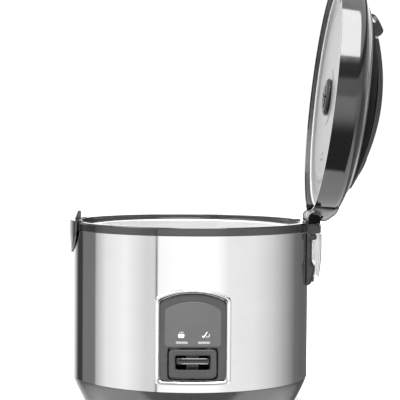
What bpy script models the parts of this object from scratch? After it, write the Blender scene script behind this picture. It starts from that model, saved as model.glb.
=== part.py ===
"""Clamshell rice cooker with an open lid: steel body, lift-out pot, hinged domed lid, cook lever.

Outlines and sizes below are in millimetres; make() turns every mesh into metres. Heights count
from the table, radii from the upright axis of the body. Lid pieces are drawn shut, about the
centre of the lid's rim, and the empty on the hinge axis swings them open.
"""

from math import asin, cos, hypot, pi, radians, sin

import bmesh
import bpy
from mathutils import Vector

MM = 0.001
TURN = 2 * pi

# Fineness of the round pieces.
BIG, MIDDLE, SMALL, COIL_STEPS = 40, 32, 12, 7

# Where the upright axis stands, so that the open cooker's box is centred over the origin.
AXIS_X = -38.03

# Body.
GAP = 0.3
BODY_R = 127.2
STEEL_THICK = 0.8
STEEL_LOW, STEEL_HIGH = 38.3, 196.2
RING_R, RING_TOP = 127.6, 205.0
RING_MOUTH_R = 106.3
LEDGE_TOP = 198.9
BASE_LOW, BASE_TAPER = 5.5, 16.0
FLOOR_LOW, FLOOR_HIGH = 6.0, 8.5
FOOT_R, FOOT_PLACE_R, SCREW_PLACE_R = 9.0, 88.0, 103.0
POT_R, POT_THICK, POT_FLANGE_R = 100.8, 1.5, 105.9
POT_LOW = 58.6
POT_CORNER = 16.8
PLATE_LOW, PLATE_HIGH = 47.5, 58.2

# Hinge and lid.
HINGE_X, HINGE_Z = 131.7, 209.0
PIN_R, BORE_R = 2.5, 2.9
LID_OPEN = radians(96)
LID_RIM_Z = 205.5
LID_R = 127.6
BRACKET_SPREAD = radians(15)
LATCH_SPREAD = radians(20)
COVER_R, COVER_EDGE, COVER_APEX = 98.0, 38.0, 57.0
CAP_APEX, CAP_DROP, CAP_RUN = 64.0, 26.0, 103.0
CAP_HALF, CAP_START, CAP_END = 17.0, -70.4, 96.0
WELL_RUN, WELL_REACH, WELL_DEEP = 62.0, 48.0, 24.0
WELL_TOP, WELL_SIDE = 60.0, 18.0
SKIN = 2.5
VENT_U, VENT_R = 70.0, 12.0
BUTTON_OUT, BUTTON_IN, BUTTON_HALF = -94.0, -71.0, 12.0

# Control panel, on the front of the body. Widths are halves, measured along the wall.
BEZEL = dict(half=39.0, low=46.0, shoulder=134.0, top=143.3, corner=5.0)
BEZEL_HOLE = dict(half=34.0, low=49.9, shoulder=130.5, top=138.8, corner=4.0)
PANEL = dict(half=33.4, low=50.3, shoulder=130.1, top=138.4, corner=4.0)
LABEL = dict(half=28.5, low=86.0, shoulder=122.0, top=130.8, corner=3.0)
SWITCH_Z, SWITCH_W, SWITCH_H = 69.1, 49.0, 30.4
SLOT_Z, SLOT_W, SLOT_H = 70.3, 34.8, 14.0
LAMP_Z, LAMP_X, LAMP_W, LAMP_H = 90.4, 11.0, 12.0, 2.4
LEVER_Y, LEVER_Z = -60.0, 32.5
PADDLE_W, PADDLE_LOW, PADDLE_HIGH = 32.4, 69.5, 75.5


# ---------------------------------------------------------------- scene and materials


def clear_scene():
    for obj in list(bpy.data.objects):
        bpy.data.objects.remove(obj, do_unlink=True)


def material(name, colour, roughness, metallic=0.0, see_through=0.0):
    made = bpy.data.materials.new(name)
    made.use_nodes = True
    shader = made.node_tree.nodes["Principled BSDF"]
    shader.inputs["Base Color"].default_value = (*colour, 1.0)
    shader.inputs["Roughness"].default_value = roughness
    shader.inputs["Metallic"].default_value = metallic
    shader.inputs["Transmission Weight"].default_value = see_through
    return made


def empty(name, parent=None, place=(0, 0, 0), turn=(0, 0, 0)):
    made = bpy.data.objects.new(name, None)
    bpy.context.scene.collection.objects.link(made)
    made.parent = parent
    made.location = Vector(place) * MM
    made.rotation_euler = turn
    return made


def make(name, bm, look, parent, place=(0, 0, 0), turn=(0, 0, 0)):
    """A mesh object from a bmesh drawn in millimetres."""
    bmesh.ops.remove_doubles(bm, verts=bm.verts, dist=0.001)
    bmesh.ops.recalc_face_normals(bm, faces=bm.faces)
    bmesh.ops.scale(bm, vec=(MM, MM, MM), verts=bm.verts)
    mesh = bpy.data.meshes.new(name)
    bm.to_mesh(mesh)
    bm.free()
    mesh.shade_smooth()
    mesh.set_sharp_from_angle(angle=radians(35))
    obj = bpy.data.objects.new(name, mesh)
    bpy.context.scene.collection.objects.link(obj)
    obj.parent = parent
    obj.location = Vector(place) * MM
    obj.rotation_euler = turn
    if look:
        mesh.materials.append(look)
    return obj


def shape_with(obj, bm, label, operation="DIFFERENCE", place=None, turn=(0, 0, 0)):
    """Cuts the drawn shape from obj, or joins it on, with a Boolean."""
    spot = obj.location / MM if place is None else place
    helper = make(f"{obj.name}_{label}", bm, None, obj.parent, spot, turn)
    helper.hide_render = True
    helper.display_type = "WIRE"
    boolean = obj.modifiers.new(label, "BOOLEAN")
    boolean.operation = operation
    boolean.solver = "EXACT"
    boolean.object = helper


# ---------------------------------------------------------------- shapes


def turned(outline, steps, start=0.0, sweep=TURN):
    """A closed outline of (radius, height) turned about Z. A part sweep gets end caps."""
    bm = bmesh.new()
    full = sweep == TURN
    count = steps if full else steps + 1
    rings = []
    for i in range(count):
        a = start + sweep * i / steps
        rings.append([bm.verts.new((r * cos(a), r * sin(a), z)) for r, z in outline])
    for i in range(steps):
        here, there = rings[i], rings[(i + 1) % count]
        for j in range(len(outline)):
            k = (j + 1) % len(outline)
            bm.faces.new((here[j], here[k], there[k], there[j]))
    if not full:
        bm.faces.new(rings[0])
        bm.faces.new(rings[-1])
    return bm


def sector(outline, middle, half, steps=8):
    return turned(outline, steps, middle - half, 2 * half)


def along_x(a, b, depth):
    return depth, a, b


def along_y(a, b, depth):
    return a, depth, b


def along_z(a, b, depth):
    return a, b, depth


def prism(outline, low, high, way=along_z):
    """A flat outline pushed from low to high along one axis."""
    bm = bmesh.new()
    ends = [[bm.verts.new(way(a, b, d)) for a, b in outline] for d in (low, high)]
    for end in ends:
        bm.faces.new(end)
    for j in range(len(outline)):
        k = (j + 1) % len(outline)
        bm.faces.new((ends[0][j], ends[0][k], ends[1][k], ends[1][j]))
    return bm


def block(low, high):
    (x0, y0, z0), (x1, y1, z1) = low, high
    return prism([(x0, y0), (x1, y0), (x1, y1), (x0, y1)], z0, z1)


def arc(centre, radius, start, end, steps):
    """Points on an arc, angles in degrees, both ends included."""
    angles = [radians(start + (end - start) * i / steps) for i in range(steps + 1)]
    return [(centre[0] + radius * cos(a), centre[1] + radius * sin(a)) for a in angles]


def disc(radius, low, high, steps=SMALL, way=along_z, centre=(0, 0)):
    return prism(arc(centre, radius, 0, 360, steps)[:-1], low, high, way)


def joined(*parts):
    """Several drawn shapes as one mesh of separate bodies, for a cutter."""
    whole = parts[0]
    for part in parts[1:]:
        mesh = bpy.data.meshes.new("joining")
        part.to_mesh(mesh)
        part.free()
        whole.from_mesh(mesh)
        bpy.data.meshes.remove(mesh)
    return whole


def rounded_box(width, height, corner, centre=(0, 0)):
    """The outline of a rectangle with round corners."""
    x, z = width / 2 - corner, height / 2 - corner
    points = []
    for i, (sx, sz) in enumerate(((1, 1), (-1, 1), (-1, -1), (1, -1))):
        middle = (centre[0] + sx * x, centre[1] + sz * z)
        points += arc(middle, corner, 90 * i, 90 * i + 90, 3)
    return points


def arched(half, low, shoulder, top, corner):
    """An upright panel's outline: round lower corners, and a shallow arch for its top."""
    rise = top - shoulder
    radius = (half**2 + rise**2) / (2 * rise)
    spread = asin(half / radius) * 180 / pi
    roof = arc((0, top - radius), radius, 90 - spread, 90 + spread, 8)
    left = arc((corner - half, low + corner), corner, 180, 270, 3)
    right = arc((half - corner, low + corner), corner, 270, 360, 3)
    return roof + left + right


def on_wall(outline, inner, outer, strip=8.0):
    """A flat outline of (along the wall, height) as a plate wrapped round the body's front."""
    bm = prism(outline, inner, outer, along_y)
    edge = max(abs(a) for a, _ in outline)
    for i in range(-int(edge / strip), int(edge / strip) + 1):
        geometry = bm.verts[:] + bm.edges[:] + bm.faces[:]
        bmesh.ops.bisect_plane(bm, geom=geometry, plane_co=(i * strip, 0, 0), plane_no=(1, 0, 0))
    for vert in bm.verts:
        a, r = vert.co.x / BODY_R, vert.co.y
        vert.co.x, vert.co.y = r * sin(a), -r * cos(a)
    return bm


def between(upper, lower):
    """A closed solid between two grids of points that have the same rows and columns."""
    bm = bmesh.new()
    grids = [[[bm.verts.new(point) for point in row] for row in grid] for grid in (upper, lower)]
    last_row, last = len(upper) - 1, len(upper[0]) - 1
    for g in grids:
        for i in range(last_row):
            for j in range(last):
                bm.faces.new((g[i][j], g[i + 1][j], g[i + 1][j + 1], g[i][j + 1]))
    up, down = grids
    for i in range(last_row):
        for j in (0, last):
            bm.faces.new((up[i][j], up[i + 1][j], down[i + 1][j], down[i][j]))
    for j in range(last):
        for i in (0, last_row):
            bm.faces.new((up[i][j], up[i][j + 1], down[i][j + 1], down[i][j]))
    return bm


def slab(us, vs, top, bottom):
    """A closed sheet between two height functions over a rectangle."""
    upper = [[(u, v, top(u, v)) for v in vs] for u in us]
    lower = [[(u, v, bottom(u, v)) for v in vs] for u in us]
    return between(upper, lower)


def spaced(low, high, count):
    return [low + (high - low) * i / (count - 1) for i in range(count)]


def coil(name, look, parent, radius, wire, turns, low, high, way, centre=(0, 0)):
    """A helical spring as a bevelled curve."""
    curve = bpy.data.curves.new(name, "CURVE")
    curve.dimensions = "3D"
    curve.bevel_depth = wire / 2 * MM
    curve.bevel_resolution = 0
    curve.use_fill_caps = True
    count = int(turns * COIL_STEPS) + 1
    spline = curve.splines.new("POLY")
    spline.points.add(count - 1)
    for i, point in enumerate(spline.points):
        a = TURN * i / COIL_STEPS
        across = (centre[0] + radius * cos(a), centre[1] + radius * sin(a))
        place = way(*across, low + (high - low) * i / (count - 1))
        point.co = (*(Vector(place) * MM), 1)
    curve.materials.append(look)
    obj = bpy.data.objects.new(name, curve)
    bpy.context.scene.collection.objects.link(obj)
    obj.parent = parent
    return obj


# ---------------------------------------------------------------- body


def base_radius(z):
    """The base housing's outer radius, tucking in towards the table."""
    return BODY_R - 0.2 - BASE_TAPER * (max(STEEL_LOW - z, 0) / (STEEL_LOW - BASE_LOW)) ** 1.2


def base_housing(look, body):
    wall = 2.6
    heights = (38.0, 29.0, 17.0, BASE_LOW)
    outside = [(base_radius(z), z) for z in heights]
    inside = [(base_radius(z) - wall, z) for z in (11.2, 22.0, 36.0)]
    ledge = [(106.0, BASE_LOW), (106.0, 8.8), (101.0, 8.8), (101.0, 11.2)]
    tongue = [(124.3, 40.0), (124.3, 46.0), (125.9, 46.0), (125.9, 38.0)]
    obj = make("base_housing", turned(outside + ledge + inside + tongue, BIG), look, body)
    shape_with(obj, block((-15.4, 108, 11.6), (15.4, 132, 34.4)), "inlet_hole")
    holes = [disc(1.9, 5, 12, 12, centre=spot) for spot in screw_spots()]
    shape_with(obj, joined(*holes), "screw_holes")


def screw_spots():
    return [(SCREW_PLACE_R * cos(radians(a)), SCREW_PLACE_R * sin(radians(a))) for a in (60, 180, 300)]


def bottom_cover(look, body):
    outline = [(0, FLOOR_HIGH), (105.6, FLOOR_HIGH), (105.6, FLOOR_LOW), (0, FLOOR_LOW)]
    obj = make("bottom_cover", turned(outline, MIDDLE), look, body)
    holes = [disc(1.9, 5, 10, 12, centre=spot) for spot in screw_spots()]
    slots = [block((x - 1.6, -22, 5), (x + 1.6, 22, 10)) for x in range(-30, 31, 20)]
    shape_with(obj, joined(*holes, *slots), "openings")


def bottom_screws(look, body):
    outline = [(0, 3.9), (2.4, 3.9), (2.4, 5.7), (1.5, 5.7), (1.5, 14), (0, 14)]
    for i, (x, y) in enumerate(screw_spots()):
        make(f"bottom_screw_{i + 1}", turned(outline, 8), look, body, (x, y, 0))


def feet(look, body):
    outline = [(0, 5.7), (FOOT_R, 5.7), (FOOT_R, 1.5), (FOOT_R - 1.5, 0), (0, 0)]
    for name, turn in (("front_right", -45), ("back_right", 45), ("back_left", 135),
                       ("front_left", -135)):
        a = radians(turn)
        place = (FOOT_PLACE_R * cos(a), FOOT_PLACE_R * sin(a), 0)
        make(f"foot_{name}", turned(outline, SMALL), look, body, place)


def outer_shell(look, body):
    inner = BODY_R - STEEL_THICK
    outline = [(BODY_R, STEEL_HIGH), (BODY_R, STEEL_LOW), (inner, STEEL_LOW), (inner, STEEL_HIGH)]
    obj = make("outer_shell", turned(outline, BIG), look, body)
    window = prism(arched(33.8, 49.9, 130.4, 138.7, 4.0), -140, -100, along_y)
    shape_with(obj, window, "panel_window")


def top_ring(look, body):
    outline = [
        (126.8, RING_TOP), (RING_R, 204.2), (RING_R, 196.6), (125.9, 196.6), (125.9, 190.0),
        (124.4, 190.0), (124.4, 197.8), (108.6, 197.8), (108.6, 197.0), (102.2, 197.0),
        (102.2, LEDGE_TOP), (RING_MOUTH_R, LEDGE_TOP), (RING_MOUTH_R, 200.2), (107.0, 200.6),
        (120.4, 200.6), (120.4, 204.4), (121.0, RING_TOP),
    ]
    obj = make("top_ring", turned(outline, BIG), look, body)
    notch = [(117.9, 207), (130, 207), (130, 199), (117.9, 199)]
    shape_with(obj, sector(notch, 0, radians(15.5)), "hinge_notch")


def inner_liner(look, body):
    outline = [
        (105.2, 196.6), (105.2, 44.0), (101.2, 39.7), (26.0, 39.7), (26.0, 40.3),
        (101.0, 40.3), (104.6, 44.2), (104.6, 196.6),
    ]
    make("inner_liner", turned(outline, BIG), look, body)


def keep_warm_band(look, body):
    outline = [(106.6, 128), (106.6, 92), (105.7, 92), (105.7, 128)]
    make("keep_warm_band", turned(outline, BIG), look, body)


def heating_plate(look, body):
    """Cast plate with a hole for the sensor, standing on three cast legs."""
    outline = [
        (78.0, PLATE_HIGH - 1), (80.0, 54.0), (80.0, 50.0), (77.0, PLATE_LOW),
        (17.5, PLATE_LOW), (17.5, PLATE_HIGH), (76.0, PLATE_HIGH),
    ]
    obj = make("heating_plate", turned(outline, MIDDLE), look, body)
    legs = [
        disc(4.5, 40.6, 50, 8, centre=(70 * cos(radians(a)), 70 * sin(radians(a))))
        for a in (90, 210, 330)
    ]
    shape_with(obj, joined(*legs), "legs", "UNION")


def heating_element(look, body):
    """The tubular element clamped under the plate, an open ring with two terminals' gap."""
    outline = arc((54, 43.9), 3.2, 0, 360, 6)[:-1]
    sweep = radians(320)
    make("heating_element", turned(outline, 24, radians(-70), sweep), look, body)


def thermostat(steel, magnet, body, sensor, plunger):
    seat = [
        (3.2, 42.5), (22.0, 42.5), (22.0, 44.0), (11.4, 44.0), (11.4, 53.5), (10.2, 53.5),
        (10.2, 44.0), (3.2, 44.0),
    ]
    make("thermostat_seat", turned(seat, 16), steel, body)
    cup = [
        (0, PLATE_HIGH), (14.6, PLATE_HIGH), (15.6, 57.2), (15.6, 47.0), (14.8, 47.0),
        (14.8, 57.0), (14.4, 57.4), (0, 57.4),
    ]
    make("sensor_cup", turned(cup, 16), steel, sensor)
    coil("sensor_spring", steel, sensor, 13.1, 1.0, 4, 45.0, 56.6, along_z)
    rod = [(0, 50.0), (8.5, 50.0), (8.5, 44.4), (2.5, 44.4), (2.5, 34.4), (0, 34.4)]
    make("magnet_plunger", turned(rod, SMALL), magnet, plunger)


def thermal_fuse(look, body):
    make("thermal_fuse", disc(3, 28, 52, 12, along_x, centre=(30, 36)), look, body)


def power_inlet(look, brass, body):
    """A three-pin appliance inlet in the back of the base."""
    obj = make("inlet_socket", block((-15, 98, 12), (15, 121, 34)), look, body)
    mouth = prism(rounded_box(24.4, 16.4, 3, (0, 23)), 102, 125, along_y)
    shape_with(obj, mouth, "mouth")
    for name, x, z in (("line", 7, 21), ("neutral", -7, 21), ("earth", 0, 25)):
        low, high = (x - 1, 102.3, z - 2), (x + 1, 116, z + 2)
        make(f"inlet_pin_{name}", block(low, high), brass, body)


# ---------------------------------------------------------------- panel and switch


def panel(chrome, dark, label_look, lamp_looks, body):
    bezel = make("panel_bezel", on_wall(arched(**BEZEL), 127.6, 130.4), chrome, body)
    shape_with(bezel, prism(arched(**BEZEL_HOLE), -140, -110, along_y), "opening")

    switch_hole = rounded_box(SWITCH_W + 2.4, SWITCH_H + 2.4, 4, (0, SWITCH_Z))
    plate = make("panel_plate", on_wall(arched(**PANEL), 124.5, 128.3), dark, body)
    shape_with(plate, prism(switch_hole, -140, -110, along_y), "switch_hole")

    label = make("label_plate", on_wall(arched(**LABEL), 128.6, 129.4), label_look, body)
    lamps = [
        prism(rounded_box(LAMP_W + 0.6, LAMP_H + 0.6, 1.2, (x, LAMP_Z)), -140, -110, along_y)
        for x in (-LAMP_X, LAMP_X)
    ]
    shape_with(label, joined(*lamps), "lamp_holes")
    for name, x, look in (("cook", LAMP_X, lamp_looks[0]), ("warm", -LAMP_X, lamp_looks[1])):
        outline = rounded_box(LAMP_W, LAMP_H, 0.9, (x, LAMP_Z))
        make(f"lamp_{name}", on_wall(outline, 128.7, 129.7), look, body)


def switch_frame(look, body):
    outline = rounded_box(SWITCH_W, SWITCH_H, 3, (0, SWITCH_Z))
    obj = make("switch_frame", on_wall(outline, 124.0, 129.2), look, body)
    slot = prism(rounded_box(SLOT_W, SLOT_H, 1.5, (0, SLOT_Z)), -140, -110, along_y)
    shape_with(obj, slot, "slot")


def switch_lever(black, steel, dark, body, lever):
    """Paddle and bent arm, drawn about the pivot on the base."""
    place = (0, -LEVER_Y, -LEVER_Z)
    paddle = [
        (-116, PADDLE_LOW), (-130.0, PADDLE_LOW), (-132.2, PADDLE_LOW + 1.5),
        (-132.0, PADDLE_HIGH - 1.8), (-130.0, PADDLE_HIGH), (-116, PADDLE_HIGH),
    ]
    half = PADDLE_W / 2
    make("lever_paddle", prism(paddle, -half, half, along_x), black, lever, place)
    top = [(-115.6, 73.2), (-111.5, 73.2), (-107.6, 37.6), (LEVER_Y, 35.0), (7.0, 33.75)]
    under = [(7.0, 32.25), (LEVER_Y, 30.0), (-109.4, 35.8), (-113.3, 71.0), (-115.6, 71.0)]
    arm = make("lever_arm", prism(top + under, -4, 4, along_x), steel, lever, place)
    shape_with(arm, disc(1.9, -5, 5, 12, along_x, centre=(LEVER_Y, LEVER_Z)), "pivot_hole")
    frame = make("lever_bracket", block((-8, -67, 8.9), (8, -53, 37)), dark, body)
    shape_with(frame, block((-4.6, -70, 11), (4.6, -50, 40)), "fork")
    pin_hole = disc(1.8, -9, 9, 12, along_x, centre=(LEVER_Y, LEVER_Z))
    shape_with(frame, pin_hole, "pin_hole")
    pin = disc(1.4, -8.5, 8.5, 12, along_x, centre=(LEVER_Y, LEVER_Z))
    make("lever_pin", pin, steel, body)
    switch = make("microswitch", block((6, -96, 8.9), (16, -74, 22)), dark, body)
    shape_with(switch, block((9, -88, 20), (13, -84, 24.5)), "plunger", "UNION")


# ---------------------------------------------------------------- latch, hinge, collector


def latch_bracket(look, body):
    """A shield on the latch side, with the catch hook standing on its top flange."""
    shield = [
        (128.0, 170.0), (129.0, 170.0), (130.4, 184.0), (131.0, 200.0), (131.0, 206.4),
        (121.2, 206.4), (121.2, 205.3), (128.0, 205.3),
    ]
    obj = make("latch_bracket", sector(shield, pi, LATCH_SPREAD), look, body)
    hook = [
        (-125.2, 205.8), (-121.8, 216.3), (-119.8, 216.3), (-119.2, 215.4), (-119.2, 213.2),
        (-121.5, 212.6), (-121.5, 205.8),
    ]
    shape_with(obj, prism(hook, -8, 8, along_y), "hook", "UNION")
    cheek = [(-125.2, 205.8), (-121.8, 216.3), (-119.8, 216.3), (-119.2, 214.8), (-119.2, 206.0)]
    cheeks = [prism(cheek, low, low + 1.7, along_y) for low in (-8.2, 6.5)]
    shape_with(obj, joined(*cheeks), "hook_cheeks", "UNION")


def hinge_bracket(look, body):
    outline = [
        (127.9, 193.2), (137.0, 191.6), (137.0, 187.0), (132.5, 186.0), (132.5, 164.5),
        (135.8, 159.0), (135.8, 155.0), (133.5, 145.0), (131.0, 137.4), (127.9, 137.4),
    ]
    make("hinge_bracket", sector(outline, 0, BRACKET_SPREAD, 10), look, body)


def hinge_block(look, body):
    outline = [
        (118.5, 203.6), (140.3, 203.6), (141.3, 202.6), (141.3, 193.8), (127.9, 193.8),
        (127.9, 199.4), (118.5, 199.4),
    ]
    obj = make("hinge_block", sector(outline, 0, BRACKET_SPREAD, 10), look, body)
    trough = disc(6.8, -24.4, 24.4, 16, along_y, (HINGE_X, HINGE_Z))
    shape_with(obj, trough, "knuckle_trough")


def hinge_pieces(black, steel, body):
    centre = (HINGE_X, HINGE_Z)
    foot = [(HINGE_X - 6.2, 203.9), (HINGE_X + 6.0, 203.9)]
    outline = arc(centre, 6.4, -10, 195, 12) + foot
    for name, low, high in (("front", -33, -24.6), ("back", 24.6, 33)):
        obj = make(f"hinge_bearing_{name}", prism(outline, low, high, along_y), black, body)
        bore = disc(BORE_R, low - 1, high + 1, SMALL, along_y, centre)
        shape_with(obj, bore, "bore")
    pin = disc(PIN_R, -33.6, 33.6, SMALL, along_y, centre)
    make("hinge_pin", pin, steel, body)
    for name, low, high in (("front", -15.0, -9.0), ("back", 9.0, 15.0)):
        coil(f"hinge_spring_{name}", steel, body, 4.3, 1.2, 3.5, low, high, along_y, centre)


def dew_collector(look, collector):
    """Clear cup that hangs on the hinge bracket: open at the top, lower along its inner wall."""
    outside = [
        (142.2, 192.5), (142.2, 172.0), (141.4, 158.0), (139.4, 145.4), (137.0, 143.6),
        (135.4, 145.0), (136.4, 153.5), (136.4, 160.0), (133.0, 165.4), (133.0, 184.0),
        (139.6, 184.0), (139.6, 192.5),
    ]
    inside = [
        (140.8, 195.0), (140.8, 172.2), (140.0, 158.4), (138.6, 148.0), (137.4, 148.0),
        (137.8, 153.5), (137.8, 160.6), (134.4, 166.0), (134.4, 195.0),
    ]
    obj = make("dew_collector", sector(outside, 0, radians(14), 8), look, collector)
    shape_with(obj, sector(inside, 0, radians(13.4), 8), "hollow")


def inner_pot(look, pot):
    bottom_in = POT_LOW + POT_THICK
    reach = POT_R - POT_CORNER
    bend = arc((reach, POT_LOW + POT_CORNER), POT_CORNER, -90, 0, 4)
    inner_bend = arc((reach, POT_LOW + POT_CORNER), POT_CORNER - POT_THICK, 0, -90, 4)
    flange = [(POT_R, 199.2), (POT_FLANGE_R, 199.2), (POT_FLANGE_R, 200.2)]
    lip = [(POT_R - POT_THICK, 200.2)]
    outline = [(0, POT_LOW)] + bend + flange + lip + inner_bend + [(0, bottom_in)]
    make("inner_pot", turned(outline, MIDDLE), look, pot)


# ---------------------------------------------------------------- lid


def dome(u, v):
    """Height of the lid cover's top over the rim plane."""
    return COVER_APEX - (COVER_APEX - COVER_EDGE) * (u * u + v * v) / COVER_R**2


def cap_top(u):
    return CAP_APEX - CAP_DROP * (u / CAP_RUN) ** 2


def lid_notches(obj):
    """Room for the hinge and for the latch bracket's flange."""
    shape_with(obj, block((119, -34.5, -3), (136, 34.5, 15)), "hinge_room")
    flange = [(116, 1.4), (132, 1.4), (132, -2), (116, -2)]
    shape_with(obj, sector(flange, pi, LATCH_SPREAD + radians(0.7)), "flange_room")


def lid_shell(look, lid, place):
    outline = [
        (LID_R, 0), (LID_R, 6.0), (127.2, 14.0), (126.8, 21.0), (124.6, 26.0), (116.0, 30.4),
        (104.8, 34.0), (104.8, 32.6), (94.0, 32.6), (94.0, 30.2), (104.2, 30.2), (114.6, 27.0),
        (122.2, 23.0), (124.2, 19.0), (124.6, 0),
    ]
    obj = make("lid_shell", turned(outline, BIG), look, lid, place)
    lid_notches(obj)
    shape_with(obj, block((-126.0, -9.5, -2), (-110, 9.5, 13)), "hook_room")


def lid_lining(look, lid, place):
    """Inner frame of the lid, with the stud that holds the inner lid and a spring seat."""
    outline = [
        (0, 10.4), (124.2, 10.4), (124.2, 1.6), (121.8, 1.6), (121.8, 8.4), (10.0, 8.4),
        (10.0, 7.5), (4.0, 7.5), (4.0, 2.0), (0, 2.0),
    ]
    obj = make("lid_lining", turned(outline, BIG), look, lid, place)
    shape_with(obj, block((119, -34.5, -3), (136, 34.5, 15)), "hinge_room")
    shape_with(obj, block((-127, -9.5, -2), (-108, 9.5, 13)), "hook_room")
    shape_with(obj, disc(6, 5, 13, centre=(62, 0)), "steam_hole")
    shape_with(obj, block((-58, -7, 9.4), (-54, 7, 25)), "spring_seat", "UNION")


def cover_top(u, v):
    """The lid cover's top: the dome, sunk into a finger well on each side of the grip."""
    rest = 1 - (u / WELL_RUN) ** 2 - ((abs(v) - WELL_SIDE) / WELL_REACH) ** 2
    if abs(v) <= WELL_SIDE or rest <= 0:
        return dome(u, v)
    return min(dome(u, v), WELL_TOP - WELL_DEEP * rest**0.5)


def lid_cover(look, lid, place):
    """Rows run along the grip. Two rows 0.6 apart make each well's upright side."""
    half_rows = [0, WELL_SIDE, WELL_SIDE + 0.6, 30, 43, 56, 69, 82, 93, COVER_R]
    upper, lower = [], []
    for v in [-row for row in half_rows[:0:-1]] + half_rows:
        reach = (COVER_R**2 - v * v) ** 0.5
        inward = SKIN * min(1, max(0, (43 - abs(v)) / (43 - WELL_SIDE)))
        v_in = v - inward * (v > 0) + inward * (v < 0)
        columns = [-reach * cos(pi * i / 14) for i in range(15)]
        upper.append([(u, v, cover_top(u, v)) for u in columns])
        lower.append([(u, v_in, cover_top(u, v) - SKIN) for u in columns])
    obj = make("lid_cover", between(upper, lower), look, lid, place)
    half = BUTTON_HALF + 0.5
    hole = block((BUTTON_OUT - 0.5, -half, 20), (BUTTON_IN + 0.5, half, 70))
    shape_with(obj, hole, "button_hole")
    shape_with(obj, disc(VENT_R + 0.5, -24, 6), "vent_hole", **vent_seat(place))


def vent_seat(place):
    """Where the vent cap sits in the lid, square to the handle cap's slope."""
    slope = 2 * CAP_DROP * VENT_U / CAP_RUN**2
    spot = Vector(place) + Vector((VENT_U, 0, cap_top(VENT_U) + 0.6))
    return dict(place=spot, turn=(0, asin(slope / hypot(1, slope)), 0))


def trim_ring(look, lid, place):
    outline = [
        (98.4, 32.9), (104.5, 32.9), (104.5, 34.6), (102.0, 38.3), (98.4, 38.9),
    ]
    make("trim_ring", turned(outline, BIG), look, lid, place)


def handle_cap(look, lid, place):
    def upper(u, v):
        return cap_top(u) - 1.2 * (v / CAP_HALF) ** 4

    def lower(u, v):
        return dome(u, v) + GAP

    us, vs = spaced(CAP_START, CAP_END, 13), (-CAP_HALF, -6, 6, CAP_HALF)
    obj = make("handle_cap", slab(us, vs, upper, lower), look, lid, place)
    shape_with(obj, disc(VENT_R + 0.5, -24, 6), "vent_hole", **vent_seat(place))


def steam_vent_cap(look, vent):
    outline = [
        (0, 0), (VENT_R - 0.6, 0), (VENT_R, -0.6), (VENT_R, -3), (9, -3), (9, -13), (7.6, -13),
        (7.6, -3), (0, -3),
    ]
    obj = make("steam_vent_cap", turned(outline, SMALL), look, vent)
    slots = [block((-5, y - 0.8, -5), (5, y + 0.8, 2)) for y in (-2.6, 2.6)]
    shape_with(obj, joined(*slots), "steam_slots")


def release_button(look, button, place):
    """Wedge-shaped thumb button with a leg that pushes the latch slide inwards."""
    peak, crest = -78.0, 57.5

    def upper(u, v):
        if u < peak:
            rise = (u - BUTTON_OUT) / (peak - BUTTON_OUT)
            return 42.5 + (crest - 42.5) * rise**0.85 - 1.5 * (v / BUTTON_HALF) ** 4
        return crest - 4.0 * ((u - peak) / (BUTTON_IN - peak)) ** 2 - 1.5 * (v / BUTTON_HALF) ** 4

    us, vs = spaced(BUTTON_OUT, BUTTON_IN, 9), (-BUTTON_HALF, -9, 0, 9, BUTTON_HALF)
    obj = make("release_button", slab(us, vs, upper, lambda u, v: 36.0), look, button, place)
    leg = [(-91.5, 37), (-91.5, 19), (-88.8, 19), (-74.4, 37)]
    shape_with(obj, prism(leg, -4, 4, along_y), "leg", "UNION")


def latch_slide(look, steel, slide, lid, place):
    """Sliding bolt: cam tab under the button's leg, nose that catches the body's hook."""
    outline = [
        (-116, 14), (-92.2, 14), (-82.6, 26), (-78, 26), (-78, 11.2), (-112.4, 11.2),
        (-112.4, 4.2), (-119.5, 4.2), (-121, 5.4), (-121, 7.1), (-116, 7.1),
    ]
    make("latch_slide", prism(outline, -6, 6, along_y), look, slide, place)
    spring = coil("latch_spring", steel, lid, 3.6, 0.9, 5, -77.0, -58.8, along_x, (0, 19.5))
    spring.location = Vector(place) * MM


def lid_hinge_arm(look, lid, place):
    """Plate screwed into the lid, with three knuckles on the hinge axis."""
    height = HINGE_Z - LID_RIM_Z
    knuckle = arc((HINGE_X, height), 6.2, 90, -180, 12)
    outline = [(98, 10.8), (98, 13.6), (122, 13.6)] + knuckle + [(119.6, 8.0), (119.6, 10.8)]
    obj = make("lid_hinge_arm", prism(outline, -24, 24, along_y), look, lid, place)
    bore = disc(BORE_R, -26, 26, SMALL, along_y, (HINGE_X, height))
    shape_with(obj, bore, "bore")
    rooms = [block((121.8, low, -8), (142, low + 8, 16)) for low in (8, -16)]
    shape_with(obj, joined(*rooms), "spring_rooms")


def hinge_cover(look, lid, place):
    """Curved cover over the hinge: a sector of the lid's side, bulging in its middle."""
    spread, bulge, shoulder, crown = radians(22), 5.0, 17.0, 26.6
    outline = [
        (127.9, 1.0), (129.0, 1.0), (129.6, 2.5), (129.6, shoulder), (129.3, 21.5), (128.6, 24.6),
        (126.8, crown), (125.6, 25.8), (126.3, 24.4), (127.5, 21.2), (127.9, 14.0),
    ]
    bm = sector(outline, 0, spread, 12)
    for vert in bm.verts:
        r = hypot(vert.co.x, vert.co.y)
        a = asin(vert.co.y / r)
        fade = min(1.0, max(0.0, (crown - vert.co.z) / (crown - shoulder)))
        grow = 1 + bulge * cos(pi / 2 * a / spread) * fade / r
        vert.co.x *= grow
        vert.co.y *= grow
    obj = make("hinge_cover", bm, look, lid, place)
    shape_with(obj, block((119, -34.6, -1), (140, 34.6, 12.4)), "bearing_room")


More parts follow.
